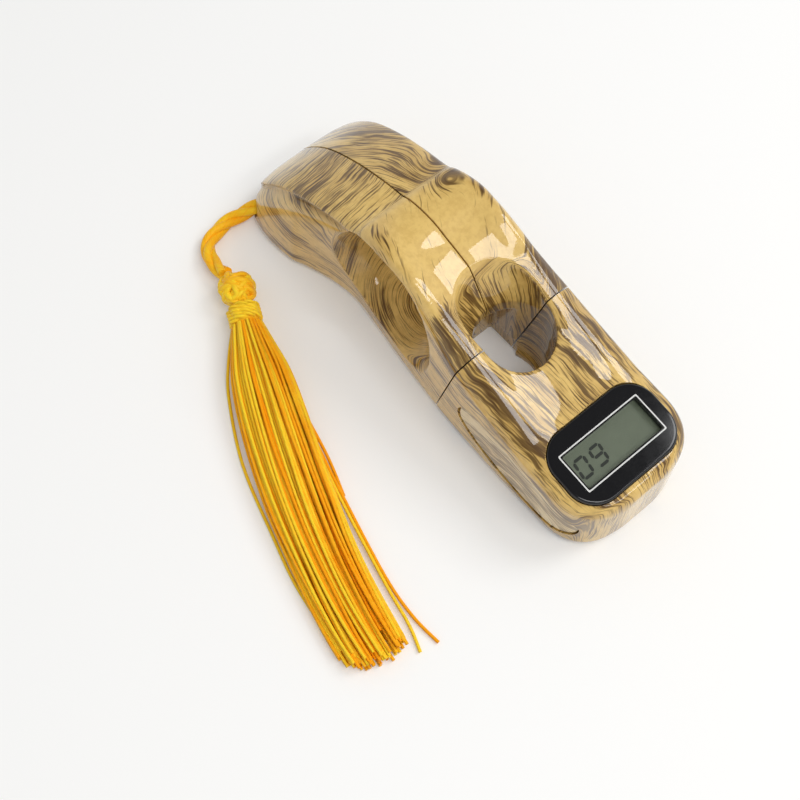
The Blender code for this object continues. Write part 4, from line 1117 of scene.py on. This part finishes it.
def head_cutters():
    """Everything that is cut from the head shell."""
    front = nose_x - base_inset - nose_round * (1 - end_share)
    tools = [head_cavity(),
             slab("base_seat", plan_ring(base_inset, base_back), -overrun, base_thickness + fit_gap),
             box("tongue_slot", (front - overrun / 2, -tongue_width / 2 - fit_gap, base_thickness / 2),
                 (front + tongue_reach + fit_gap, tongue_width / 2 + fit_gap, base_thickness + fit_gap)),
             display_slab("plate_seat", plate_length + fit_gap, plate_width + fit_gap,
                          plate_corner + fit_gap / 2, 20, -plate_thickness - fit_gap, overrun),
             display_slab("aperture", lcd_length + fit_gap * 2, lcd_width + fit_gap * 2, fit_gap * 2, 1,
                          board_top, overrun)]
    floor_inset = button_recess + button_thickness + button_travel + fit_gap
    hole = thread_radius + fit_gap
    for side in (-1, 1):
        well = button_prism("well", side, button_clearance, half_width / 2)
        floor = plan_ring(floor_inset, 0.0, base_back + button_rim / 2)
        tools += [combine(well, [slab("well_floor", floor, -overrun, body_height)]),
                  rod("bush_hole", bush_radius + fit_gap, -overrun, bush_reach + fit_gap,
                      along((post_foot, side * post_y, post_z), (1, 0, 0))),
                  rod("thread", hole, 0.0, base_screw_length + fit_gap,
                      Matrix.Translation((base_boss_x, side * base_boss_y, screw_head_height)), 24),
                  rod("board_thread", hole, board_top, board_bottom + board_screw_length,
                      display_place(board_boss[0], side * board_boss[1]), 24)]
    return tools


def make_head(looks, body):
    """Head shell with its seats and openings."""
    head = sliced(body, "head_skin", [seam_plane(1)])
    combine(head, head_cutters())
    place_wood(looks, head, head_grain, "head", "head_shell")


def oval_band(name, side, grow, inset, start, end=None):
    """Hollow band along the body's side, on the button's outline grown by a margin."""
    band = body_solid(name, 2, 12, inset, start, end)
    combine(band, [button_prism("outside", side, grow, half_width / 2)], "INTERSECT")
    return combine(band, [button_prism("hollow", side, -button_rim, 0.0)])


def make_button(looks, name, side, cell):
    """Long oval side button: softened cap, rim, retaining flange and boss for its plunger."""
    lift = 0.0002
    inner = button_recess + button_thickness
    wall_face = cavity_inset + fit_gap
    back = base_back + button_rim
    button = body_solid(f"{name}_cap", 8, 30, lift, seam_x)
    combine(button, [button_prism("oval", side, lift / 2, half_width / 2)], "INTERSECT")
    combine(button, [slab("inside", plan_ring(inner, 0.0), -overrun, body_height)])
    refine(button, cell, 6)
    rim = oval_band("rim", side, 0.0, button_recess + button_thickness / 2, back)
    flange = oval_band("flange", side, flange_reach, wall_face, back + flange_reach, nose_x - flange_front)
    combine(rim, [flange], "UNION")
    combine(rim, [slab("rim_limit", plan_ring(wall_face + flange_thickness, 0.0), -overrun, body_height)])
    place = display_place(-switch_back, side * (board_width - switch_width) / 2,
                          board_bottom - fit_gap - switch_height / 2).to_translation()
    reach = side_width(place.x, inner) + button_thickness / 2 - plunger_tip - fit_gap
    boss = rod("boss", button_boss_radius, 0.0, reach,
               along((place.x, side * (plunger_tip + fit_gap), place.z), (0, side, 0)), 24)
    merge([button, rim, boss])
    # The pale wood print carries the button's arches and painted reflection of the pale surroundings.
    place_wood(looks, button, button_grain, name, name, "wood_print_pale")


def make_plate(looks):
    """Glossy plate with a rounded edge, and the thin frame line round its window."""
    edge = 0.0006
    flat_rim = edge * 0.4
    profile = [(0.0, -plate_thickness)]
    for turn in (math.pi / 2 * k / 8 for k in range(9)):
        profile.append((edge * (1 - math.cos(turn)), edge * (math.sin(turn) - 1)))
    profile.append((edge + flat_rim, 0.0))
    plate = loft("plate", [display_ring(plate_length - trim * 2, plate_width - trim * 2,
                                        plate_corner - trim, 20, height) for trim, height in profile])
    combine(plate, [display_slab("hole", window_length, window_width, fit_gap, 4, -overrun, overrun)])
    shade(plate)
    place_piece(plate, "head", looks["black_gloss"], ["display_plate"])

    line, margin, ink = 0.00028, 0.0003, 0.00003
    outer, inner = (display_slab(name, window_length + reach * 2, window_width + reach * 2, fit_gap, 3,
                                 -depth, depth)
                    for name, reach, depth in (("frame_line", margin + line, ink),
                                               ("inner", margin, overrun)))
    combine(outer, [inner])
    place_piece(outer, "head", looks["white_ink"])


def bar_corners(name, width, height, stroke):
    """Six corners of one bar of a seven-bar digit, across and up about its middle."""
    gap, tip = stroke * 0.16, stroke / 2
    levels = {"a": height / 2, "g": 0.0, "d": -height / 2}
    if name in levels:
        middle, low, high = levels[name], gap - width / 2, width / 2 - gap
    else:
        middle = width / 2 if name in "bc" else -width / 2
        low, high = (gap, height / 2 - gap) if name in "bf" else (gap - height / 2, -gap)
    ring = [(low, middle), (low + tip, middle + tip), (high - tip, middle + tip), (high, middle),
            (high - tip, middle - tip), (low + tip, middle - tip)]
    return ring if name in levels else [(across, up) for up, across in ring]


digit_bars = ["abcdef", "bc", "abged", "abgcd", "fgbc", "afgcd", "acdefg", "abc", "abcdefg", "abcdfg"]


def make_digits(looks, reading):
    """Dark bar digits on the display glass, read from the tail, set to the right."""
    lift = 0.00004
    digit_height, digit_width, stroke, lean = 0.0039, 0.0025, 0.00064, 0.0005
    right_end, pitch = -0.0074, 0.0041
    bars = []
    for index, digit in enumerate(reversed(str(reading))):
        middle = right_end + pitch * index
        for name in digit_bars[int(digit)]:
            corners = [(up, middle - across - lean * up / digit_height)
                       for across, up in bar_corners(name, digit_width, digit_height, stroke)]
            bars.append(loft("display_digits", [[display_place() @ Vector((x, y, lcd_top + level))
                                                 for x, y in corners]
                                                for level in (lift / 2, lift * 3 / 2)]))
    place_piece(merge(bars), "head", looks["digit_ink"])


def strand_tree(name):
    """Tree that winds several strands round each input curve and gives them their attributes."""
    tree = bpy.data.node_groups.new(name, "GeometryNodeTree")
    for title, kind in (("Curve", "Geometry"), ("Strands", "Int"), ("Pitch", "Float"),
                        ("Lay Radius", "Float"), ("Strand Radius", "Float"), ("Sides", "Int"),
                        ("Step", "Float"), ("Material", "Material")):
        tree.interface.new_socket(name=title, in_out="INPUT", socket_type="NodeSocket" + kind)
    tree.interface.new_socket(name="Mesh", in_out="OUTPUT", socket_type="NodeSocketGeometry")
    nodes = Nodes(tree)
    given = {socket.name: Term(nodes, socket) for socket in tree.nodes.new("NodeGroupInput").outputs}

    def kept(geometry, source, output, kind):
        node = tree.nodes.new("GeometryNodeCaptureAttribute")
        node.domain = "POINT"
        node.capture_items.new(kind, "Kept")
        nodes.feed(node.inputs[0], geometry)
        nodes.feed(node.inputs[1], nodes.add(source, output=output))
        return Term(nodes, node.outputs[0]), Term(nodes, node.outputs[1])

    even = nodes.add("GeometryNodeResampleCurve", {"mode": "LENGTH"},
                     {"Curve": given["Curve"], "Length": given["Step"]})
    geometry, length = kept(even, "GeometryNodeSplineParameter", "Length", "FLOAT")
    geometry, tangent = kept(geometry, "GeometryNodeInputTangent", 0, "VECTOR")
    geometry, normal = kept(geometry, "GeometryNodeInputNormal", 0, "VECTOR")
    copies = nodes.add("GeometryNodeDuplicateElements", {"domain": "SPLINE"},
                       {"Geometry": geometry, "Amount": given["Strands"]})
    share = copies.beside("Duplicate Index") / given["Strands"]
    angle = (share + length / given["Pitch"]) * (2 * math.pi)
    outwards = nodes.vector("SCALE", normal, angle.wave("COSINE") * given["Lay Radius"])
    sideways = nodes.vector("SCALE", nodes.vector("CROSS_PRODUCT", tangent, normal),
                            angle.wave("SINE") * given["Lay Radius"])
    wound = nodes.add("GeometryNodeSetPosition", None,
                      {"Geometry": copies, "Offset": nodes.vector("ADD", outwards, sideways)})
    ring = nodes.add("GeometryNodeCurvePrimitiveCircle", None,
                     {"Resolution": given["Sides"], "Radius": given["Strand Radius"]})
    ring, around = kept(ring, "GeometryNodeSplineParameter", "Factor", "FLOAT")
    tube = nodes.add("GeometryNodeCurveToMesh", None,
                     {"Curve": wound, "Profile Curve": ring, "Fill Caps": True})
    island = nodes.add("GeometryNodeInputMeshIsland")
    seed = nodes.add("FunctionNodeRandomValue", {"data_type": "FLOAT"}, {"ID": island, "Seed": 7})
    tint = next(Term(nodes, socket) for socket in seed.socket.node.outputs
                if socket.type == "VALUE" and socket.enabled)
    for title, value in (("along", length), ("around", around), ("tint", tint)):
        tube = nodes.add("GeometryNodeStoreNamedAttribute", {"data_type": "FLOAT", "domain": "POINT"},
                         {"Geometry": tube, "Name": title, "Value": value})
    smooth = nodes.add("GeometryNodeSetShadeSmooth", None, {"Geometry": tube})
    painted = nodes.add("GeometryNodeSetMaterial", None,
                        {"Geometry": nodes.add("GeometryNodeRealizeInstances", None, {"Geometry": smooth}),
                         "Material": given["Material"]})
    nodes.feed(tree.nodes.new("NodeGroupOutput").inputs[0], painted)
    return tree


def wind(name, lines, material, closed=False, **values):
    """Mesh of wound strands along one or more lines of points."""
    tree = bpy.data.node_groups.get("wound_strands") or strand_tree("wound_strands")
    curve = bpy.data.curves.new(name, "CURVE")
    curve.dimensions = "3D"
    for points in lines:
        line = curve.splines.new("POLY")
        line.points.add(len(points) - 1)
        line.use_cyclic_u = closed
        for target, point in zip(line.points, points):
            target.co = (*point, 1.0)
    source = new_object(name + "_line", curve)
    modifier = source.modifiers.new("Strands", "NODES")
    modifier.node_group = tree
    wanted = {"Material": material, **{key.replace("_", " "): value for key, value in values.items()}}
    for item in tree.interface.items_tree:
        if item.name in wanted:
            modifier[item.identifier] = wanted[item.name]
    result = new_object(name, evaluated_mesh(source))
    bpy.data.objects.remove(source, do_unlink=True)
    return result


def even_tint(item, low, high):
    """Bring the strands of a piece closer in colour, between two shares of the tint."""
    layer = item.data.attributes["tint"]
    values = np.zeros(len(layer.data), dtype=np.float32)
    layer.data.foreach_get("value", values)
    layer.data.foreach_set("value", low + (high - low) * values)


def knot_frame():
    """Matrix whose local Z runs along the tassel from the middle of the knot."""
    return (Matrix.Translation(knot_place) @ Matrix.Rotation(tassel_heading, 4, "Z")
            @ Matrix.Rotation(math.pi / 2, 4, "Y"))


def make_cord(looks):
    """Twisted cord from the tail to the tassel's knot."""
    route = spline([cord_start + Vector(p) for p in cord_points], 6)
    cord = wind("twisted_cord", [route], looks["gold_thread"], Strands=3, Pitch=0.019,
                Lay_Radius=0.00086, Strand_Radius=0.00094, Sides=16, Step=0.0004)
    even_tint(cord, *cord_tints)
    place_piece(cord, "root", looks["gold_thread"], ["hanging_cord"])
    length = sum((b - a).length for a, b in zip(route, route[1:]))


def add_core(item, profile, material):
    """Fill the inside of wound strands with a plain turned core."""
    core = turned("core", profile, 24, knot_frame())
    for name in ("along", "around", "tint"):
        set_attribute(core, name, 0.5)
    core.data.materials.append(material)
    core.data.shade_smooth()
    return merge([item, core])


def make_knot(looks):
    """Ball knot: loops of cord wrapped over each other round a core."""
    sunk = 0.0013
    half_wide, half_long = knot_width / 2 - sunk, knot_length / 2 - sunk
    loops = []
    for lean, roll, size in knot_loops:
        place = (knot_frame() @ Matrix.Diagonal((half_wide * size, half_wide * size, half_long * size, 1.0))
                 @ Matrix.Rotation(roll, 4, "Z") @ Matrix.Rotation(lean, 4, "X"))
        loops.append([place @ Vector((c, s, 0.0)) for c, s in circle(48)])
    wraps = wind("knot_wraps", loops, looks["gold_thread"], closed=True, Strands=3, Pitch=0.014,
                 Lay_Radius=0.00062, Strand_Radius=0.00072, Sides=12, Step=0.0004)
    even_tint(wraps, *knot_tints)
    turns = [math.pi * k / 12 for k in range(1, 12)]
    core = [(knot_width * knot_core_share * math.sin(turn), -knot_length * knot_core_share * math.cos(turn))
            for turn in turns]
    add_core(wraps, core, looks["gold_thread"])
    place_piece(wraps, "root", looks["gold_thread"], ["tassel_knot"])


def make_binding(looks):
    """Collar below the knot: a double strand wound round and round."""
    base = knot_frame()
    turns, steps, strand = 4, 30, 0.00052
    start = tassel_start - fit_gap - binding_length
    line = []
    for k in range(turns * steps + 1):
        angle = 2 * math.pi * k / steps
        height = start + strand + (binding_length - strand * 2) * k / (turns * steps)
        radius = binding_radius - strand
        line.append(base @ Vector((radius * math.cos(angle), radius * math.sin(angle), height)))
    binding = wind("binding_wraps", [line], looks["gold_thread"], Strands=2, Pitch=0.0042,
                   Lay_Radius=0.00034, Strand_Radius=0.00046, Sides=10, Step=0.0003)
    even_tint(binding, *binding_tints)
    core = binding_radius * 0.8
    add_core(binding, [(core, start), (core, start + binding_length)], looks["gold_thread"])
    place_piece(binding, "root", looks["gold_thread"], ["tassel_binding"])


stray_routes = [[(-33.0, -36.0, 4.0), (-26.0, -43.0, 2.5), (-19.6, -48.0, 0.6), (-5.5, -55.0, 0.5),
                 (11.3, -59.9, 0.5), (22.5, -62.7, 0.5), (34.3, -64.1, 0.6)],
                [(-30.5, -33.2, 5.5), (-20.0, -34.6, 4.0), (-8.2, -37.3, 1.0)],
                [(-30.0, -34.0, 5.5), (-10.0, -37.5, 3.5), (4.0, -40.2, 1.2), (13.5, -43.2, 0.6)],
                [(-30.0, -35.0, 5.0), (-9.4, -38.0, 3.0), (12.8, -43.4, 1.6), (32.0, -47.8, 1.0),
                 (42.0, -48.9, 0.7), (49.4, -48.4, 0.5)],
                [(-30.0, -35.0, 5.0), (-8.0, -38.8, 3.0), (14.0, -44.4, 1.8), (34.0, -48.9, 1.2),
                 (43.0, -50.6, 0.8), (48.6, -52.4, 0.5)]]


def thread_line(chance, radius):
    """Route of one thread of the skirt inside the skirt's outline."""
    neck_lift = knot_place.z - skirt_height * skirt_height_shares[0][1] / 2
    slow_wave, quick_wave, full_turn = 6.0, 23.0, 2 * math.pi
    spread = chance.uniform(-1.0, 1.0)
    level = chance.random() ** 0.8
    reach = 1.0 - abs(chance.gauss(0.0, 0.022)) - 0.03 * spread ** 2
    phase, swing = chance.uniform(0, full_turn), chance.uniform(0.0, 0.05)
    second, ripple = chance.uniform(0, full_turn), chance.uniform(0.0, 0.014)
    shift = chance.gauss(0.0, 0.10)
    line = []
    for share in (reach * k / 48 for k in range(49)):
        angle = tassel_heading + skirt_turn * share ** 2
        run = tassel_start + skirt_length * share
        half = skirt_width / 2 * read_shares(skirt_width_shares, share) - radius
        height = skirt_height * read_shares(skirt_height_shares, share) - radius * 2
        lift = neck_lift * max(0.0, 1 - share / neck_lift_fade_share) ** 2
        waves = swing * math.sin(phase + share * slow_wave) + ripple * math.sin(second + share * quick_wave)
        sway = max(-1.0, min(1.0, spread + min(1.0, share * 5) * waves + shift * share ** 2))
        bulge = math.sqrt(1 - sway * sway)
        rise = height / 2 * (1 + bulge * (2 * level - 1)) + radius
        sunk = max(0.0, min(1.0, (share - 0.2) / 0.6))
        fall = 1 - sunk * (1 - level) * 0.8
        line.append(Vector((knot_place.x + run * math.cos(angle) - math.sin(angle) * half * sway,
                            knot_place.y + run * math.sin(angle) + math.cos(angle) * half * sway,
                            max(radius * 1.1, rise * fall + lift))))
    return line


def make_skirt(looks, threads, radius, seed):
    """Loose threads of the tassel, a few of them astray."""
    chance = random.Random(seed)
    lines = [spline([Vector(p) * mm for p in route], 10) for route in stray_routes]
    lines += [thread_line(chance, radius) for _ in range(threads)]
    skirt = wind("tassel_threads", lines, looks["gold_thread"], Strands=1, Pitch=0.004,
                 Lay_Radius=0.0, Strand_Radius=radius, Sides=7, Step=0.0014)
    place_piece(skirt, "root", looks["gold_thread"], ["tassel_skirt"])


def softbox(name, low, high, radiance):
    """Rectangular lamp that fills the directions between two corners, each an X and Y share."""
    aim = Vector(((low[0] + high[0]) / 2, (low[1] + high[1]) / 2, 0.0))
    aim.z = math.sqrt(1 - aim.x ** 2 - aim.y ** 2)
    side = Vector((1.0, 0.0, 0.0))
    side = (side - aim * side.dot(aim)).normalized()
    up = aim.cross(side)
    wide = math.asin(high[0]) - math.asin(low[0])
    tall = math.asin(high[1]) - math.asin(low[1])
    data = bpy.data.lights.new(name, "AREA")
    data.shape = "RECTANGLE"
    data.size = 2 * lamp_distance * math.tan(wide / 2)
    data.size_y = 2 * lamp_distance * math.tan(tall / 2)
    data.energy = radiance * math.pi * data.size * data.size_y
    turn = Matrix((side, up, aim)).transposed().to_4x4()
    new_object(name, data).matrix_world = Matrix.Translation(lamp_target + aim * lamp_distance) @ turn


def make_floor(colour, glow):
    """Pale floor that keeps the shadow and shows white in reflections."""
    floor = add_mesh("floor", [(-3, -3, 0), (3, -3, 0), (3, 3, 0), (-3, 3, 0)], [(0, 1, 2, 3)])
    floor.location.z = cad_box[0].z - 0.00005
    paint = Paint("floor_paper")
    paint.set(Base_Color=colour, Roughness=0.8, Specular_IOR_Level=0.0)
    camera_ray = paint.add("ShaderNodeLightPath", output="Is Camera Ray")
    seen = camera_ray + camera_ray.beside("Is Glossy Ray") + camera_ray.beside("Is Transmission Ray")
    shine = paint.add("ShaderNodeEmission", None, {"Color": (1.0, 1.0, 1.0), "Strength": seen * glow})
    both = paint.add("ShaderNodeAddShader", None, {0: Term(paint, paint.shader.outputs[0]), 1: shine})
    paint.feed(paint.tree.nodes["Material Output"].inputs["Surface"], both)
    floor.data.materials.append(paint.material)


def make_camera():
    """Camera that looks at the counter as in the photograph."""
    lens = bpy.data.cameras.new("camera")
    lens.lens = camera_lens
    lens.sensor_width = camera_sensor
    lens.clip_start = 0.01
    lens.clip_end = 20.0
    camera = new_object("camera", lens)
    back = Vector((math.cos(camera_elevation) * math.sin(camera_azimuth),
                   -math.cos(camera_elevation) * math.cos(camera_azimuth), math.sin(camera_elevation)))
    right = Vector((math.cos(camera_azimuth), math.sin(camera_azimuth), 0.0))
    up = back.cross(right)
    camera.matrix_world = Matrix.Translation(camera_place) @ Matrix((right, up, back)).transposed().to_4x4()
    bpy.context.scene.camera = camera


def make_world(ambient):
    """Even light from all round, with a pale horizon and a darker top in reflections."""
    world = bpy.data.worlds.new("studio")
    bpy.context.scene.world = world
    world.use_nodes = True
    world.node_tree.nodes.clear()
    nodes = Nodes(world.node_tree)
    pale, dark = 0.95, 0.12
    place = nodes.add("ShaderNodeTexCoord", output="Generated")
    height = nodes.add("ShaderNodeSeparateXYZ", None, {0: place}, "Z")
    glossy_ray = nodes.add("ShaderNodeLightPath", output="Is Glossy Ray")
    light = nodes.add("ShaderNodeMix", None, {0: glossy_ray, 2: ambient,
                                              3: nodes.between(height, 0.35, 0.75, pale, dark)})
    seen = nodes.add("ShaderNodeMix", None, {0: glossy_ray.beside("Is Camera Ray"), 2: light, 3: pale})
    shader = nodes.add("ShaderNodeBackground", None, {"Strength": seen})
    nodes.feed(nodes.tree.nodes.new("ShaderNodeOutputWorld").inputs["Surface"], shader)


plain_looks = {
    "black_gloss": (polished, (0.009, 0.009, 0.010), 0.06),
    "lcd_glass": (moulded, (0.118, 0.145, 0.092), 0.45),
    "grey_rubber": (moulded, (0.25, 0.25, 0.26), 0.7),
    "green_board": (moulded, (0.03, 0.16, 0.06), 0.45),
    "black_epoxy": (moulded, (0.015, 0.015, 0.016), 0.4),
    "black_plastic": (moulded, (0.02, 0.02, 0.02), 0.5),
    "white_ink": (moulded, (0.62, 0.62, 0.60), 0.5),
    "digit_ink": (moulded, (0.016, 0.020, 0.013), 0.6),
    "bright_steel": (metal, (0.72, 0.72, 0.74), 0.18),
    "screw_steel": (metal, (0.55, 0.55, 0.57), 0.28),
    "spring_steel": (metal, (0.7, 0.68, 0.62), 0.25),
    "cell_steel": (metal, (0.75, 0.75, 0.76), 0.2),
    "brass": (metal, (0.75, 0.55, 0.22), 0.28),
    "clear_window": (clear_plastic,),
}


def get_looks(context):
    """Materials of the counter by their slot or finish, made once."""
    wood, gold = context.scene.counter_wood, context.scene.counter_thread
    recipes = {**plain_looks,
               "wood_print": (wood_print, wood.light, wood.mid, wood.dark),
               # wood_print_pale: the wood print made paler for the buttons, partly print and partly painted
               # reflection.
               "wood_print_pale": (wood_print, wood.pale_light, wood.pale_mid, wood.pale_dark),
               "gold_thread": (thread, gold.bright, gold.deep, gold.shadow)}
    return {name: bpy.data.materials.get(f"{name}_finish") or make(f"{name}_finish", *values)
            for name, (make, *values) in recipes.items()}


def colour_setting(name, description, default):
    """Colour in a group of settings."""
    return FloatVectorProperty(name=name, description=description, subtype="COLOR", default=default,
                               min=0.0, max=1.0)


class WoodPrintSettings(bpy.types.PropertyGroup):
    """Colours of the printed wood and fineness of the body's surface."""

    light: colour_setting("Light wood", "Colour between the dark lines", (0.76, 0.52, 0.165))
    mid: colour_setting("Middle wood", "Colour of the broad bands", (0.46, 0.265, 0.060))
    dark: colour_setting("Dark lines", "Colour of the dark lines", (0.085, 0.038, 0.008))
    # The buttons' paler wood colours are partly their print and partly painted reflection of the pale
    # surroundings on their sides.
    pale_light: colour_setting("Button light wood", "Light colour of the buttons", (0.84, 0.68, 0.38))
    pale_mid: colour_setting("Button bands", "Middle colour of the buttons", (0.62, 0.43, 0.17))
    pale_dark: colour_setting("Button lines", "Dark colour of the buttons", (0.20, 0.12, 0.04))
    cell: FloatProperty(name="Surface cell", description="Size of the cells of the body's surface",
                        unit="LENGTH", default=0.00028, min=0.0002, max=0.001, precision=5)
    softening: IntProperty(name="Softening", description="Rounds of smoothing on the body's edges",
                           default=7, min=0, max=30)


class DisplaySettings(bpy.types.PropertyGroup):
    """What the display shows."""

    reading: IntProperty(name="Reading", description="Number on the display", default=60, min=0,
                         max=99999)


class ThreadSettings(bpy.types.PropertyGroup):
    """Cord and tassel."""

    bright: colour_setting("Bright thread", "Colour of the brightest threads", (1.0, 0.70, 0.030))
    deep: colour_setting("Deep thread", "Colour of the deepest threads", (1.0, 0.38, 0.003))
    # Shadow colour is painted shade in the grooves between the fibres.
    shadow: colour_setting("Between fibres", "Colour between the fibres", (1.0, 0.33, 0.002))
    threads: IntProperty(name="Threads", description="Threads of the tassel", default=150, min=10,
                         max=400)
    thread_radius: FloatProperty(name="Thread radius", description="Radius of one thread",
                                 unit="LENGTH", default=0.00036, min=0.0001, max=0.001, precision=5)
    seed: IntProperty(name="Seed", description="Changes how the threads fall", default=11, min=0)


class StageSettings(bpy.types.PropertyGroup):
    """Floor and light."""

    floor: colour_setting("Floor", "Colour of the floor", (0.84, 0.838, 0.825))
    glow: FloatProperty(name="Floor glow", description="How much whiter the floor looks", default=0.12,
                        min=0.0, max=1.0)
    ambient: FloatProperty(name="Ambient light", description="Strength of the light from all round",
                           default=0.62, min=0.0, max=2.0)
    lamp: FloatProperty(name="Lamp brightness", description="Brightness of the softboxes",
                        default=6.5, min=0.0, max=50.0)


class COUNTER_OT_inner_finishes(bpy.types.Operator):
    """Give the pieces that keep their model shape their finishes"""

    bl_idname = "counter.inner_finishes"
    bl_label = "Inner finishes"

    def execute(self, context):
        looks = get_looks(context)
        for row in frame["record"]["subparts"]:
            item = frame["nodes"][row["node"]]
            item.data.materials.clear()
            item.data.materials.append(looks[row["material_slot"]])
            if row["material_slot"].startswith("wood_print"):
                set_grain(item, lambda x, y, z, normal: (y * 1.1, side_boldness))
        return {"FINISHED"}


class COUNTER_OT_shells(bpy.types.Operator):
    """Build the two halves of the handle and the head shell"""

    bl_idname = "counter.shells"
    bl_label = "Shells"

    def execute(self, context):
        looks = get_looks(context)
        wood = context.scene.counter_wood
        body = whole_body(wood.cell, wood.softening)
        make_handle(looks, body)
        make_head(looks, body)
        bpy.data.objects.remove(body, do_unlink=True)
        return {"FINISHED"}


class COUNTER_OT_buttons(bpy.types.Operator):
    """Build the two side buttons"""

    bl_idname = "counter.buttons"
    bl_label = "Side buttons"

    def execute(self, context):
        looks = get_looks(context)
        cell = context.scene.counter_wood.cell * 0.75
        make_button(looks, "reset_button", -1, cell)
        make_button(looks, "count_button", 1, cell)
        return {"FINISHED"}


class COUNTER_OT_display(bpy.types.Operator):
    """Build the display plate, its frame line and the digits"""

    bl_idname = "counter.display"
    bl_label = "Display"

    def execute(self, context):
        looks = get_looks(context)
        make_plate(looks)
        make_digits(looks, context.scene.counter_display.reading)
        return {"FINISHED"}


class COUNTER_OT_cord(bpy.types.Operator):
    """Build the twisted cord"""

    bl_idname = "counter.cord"
    bl_label = "Cord"

    def execute(self, context):
        make_cord(get_looks(context))
        return {"FINISHED"}


class COUNTER_OT_tassel(bpy.types.Operator):
    """Build the knot, the collar and the threads of the tassel"""

    bl_idname = "counter.tassel"
    bl_label = "Tassel"

    def execute(self, context):
        looks = get_looks(context)
        make_knot(looks)
        make_binding(looks)
        settings = context.scene.counter_thread
        make_skirt(looks, settings.threads, settings.thread_radius, settings.seed)
        return {"FINISHED"}


class COUNTER_OT_stage(bpy.types.Operator):
    """Build the floor, the light and the camera"""

    bl_idname = "counter.stage"
    bl_label = "Stage"

    def execute(self, context):
        stage = context.scene.counter_stage
        make_floor(stage.floor, stage.glow)
        make_camera()
        make_world(stage.ambient)
        for name, (low, high) in softboxes.items():
            softbox(name, low, high, stage.lamp)
        context.scene.view_settings.view_transform = "Standard"
        return {"FINISHED"}


class COUNTER_PT_panel(bpy.types.Panel):
    """Sizes, colours and building steps of the counter"""

    bl_idname = "COUNTER_PT_panel"
    bl_label = "Tally counter"
    bl_space_type = "VIEW_3D"
    bl_region_type = "UI"
    bl_category = "Counter"

    def draw(self, context):
        for name in settings_groups:
            group = getattr(context.scene, name)
            column = self.layout.column()
            for key in group.bl_rna.properties.keys():
                if key not in ("rna_type", "name"):
                    column.prop(group, key)
        for operator in operators:
            self.layout.operator(operator.bl_idname)


settings_groups = {"counter_wood": WoodPrintSettings, "counter_display": DisplaySettings,
                   "counter_thread": ThreadSettings, "counter_stage": StageSettings}
operators = (COUNTER_OT_inner_finishes, COUNTER_OT_shells, COUNTER_OT_buttons, COUNTER_OT_display,
             COUNTER_OT_tassel, COUNTER_OT_cord, COUNTER_OT_stage)


def register():
    """Register the settings, the operators and the panel."""
    for name, group in settings_groups.items():
        bpy.utils.register_class(group)
        setattr(bpy.types.Scene, name, PointerProperty(type=group))
    for item in (*operators, COUNTER_PT_panel):
        bpy.utils.register_class(item)


def unregister():
    """Remove what register added."""
    for item in (COUNTER_PT_panel, *operators):
        bpy.utils.unregister_class(item)
    for name, group in settings_groups.items():
        delattr(bpy.types.Scene, name)
        bpy.utils.unregister_class(group)


def main():
    """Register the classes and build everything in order."""
    register()
    bpy.ops.counter.inner_finishes()
    bpy.ops.counter.shells()
    bpy.ops.counter.buttons()
    bpy.ops.counter.display()
    bpy.ops.counter.tassel()
    bpy.ops.counter.cord()
    bpy.ops.counter.stage()


if __name__ == "__main__":
    main()
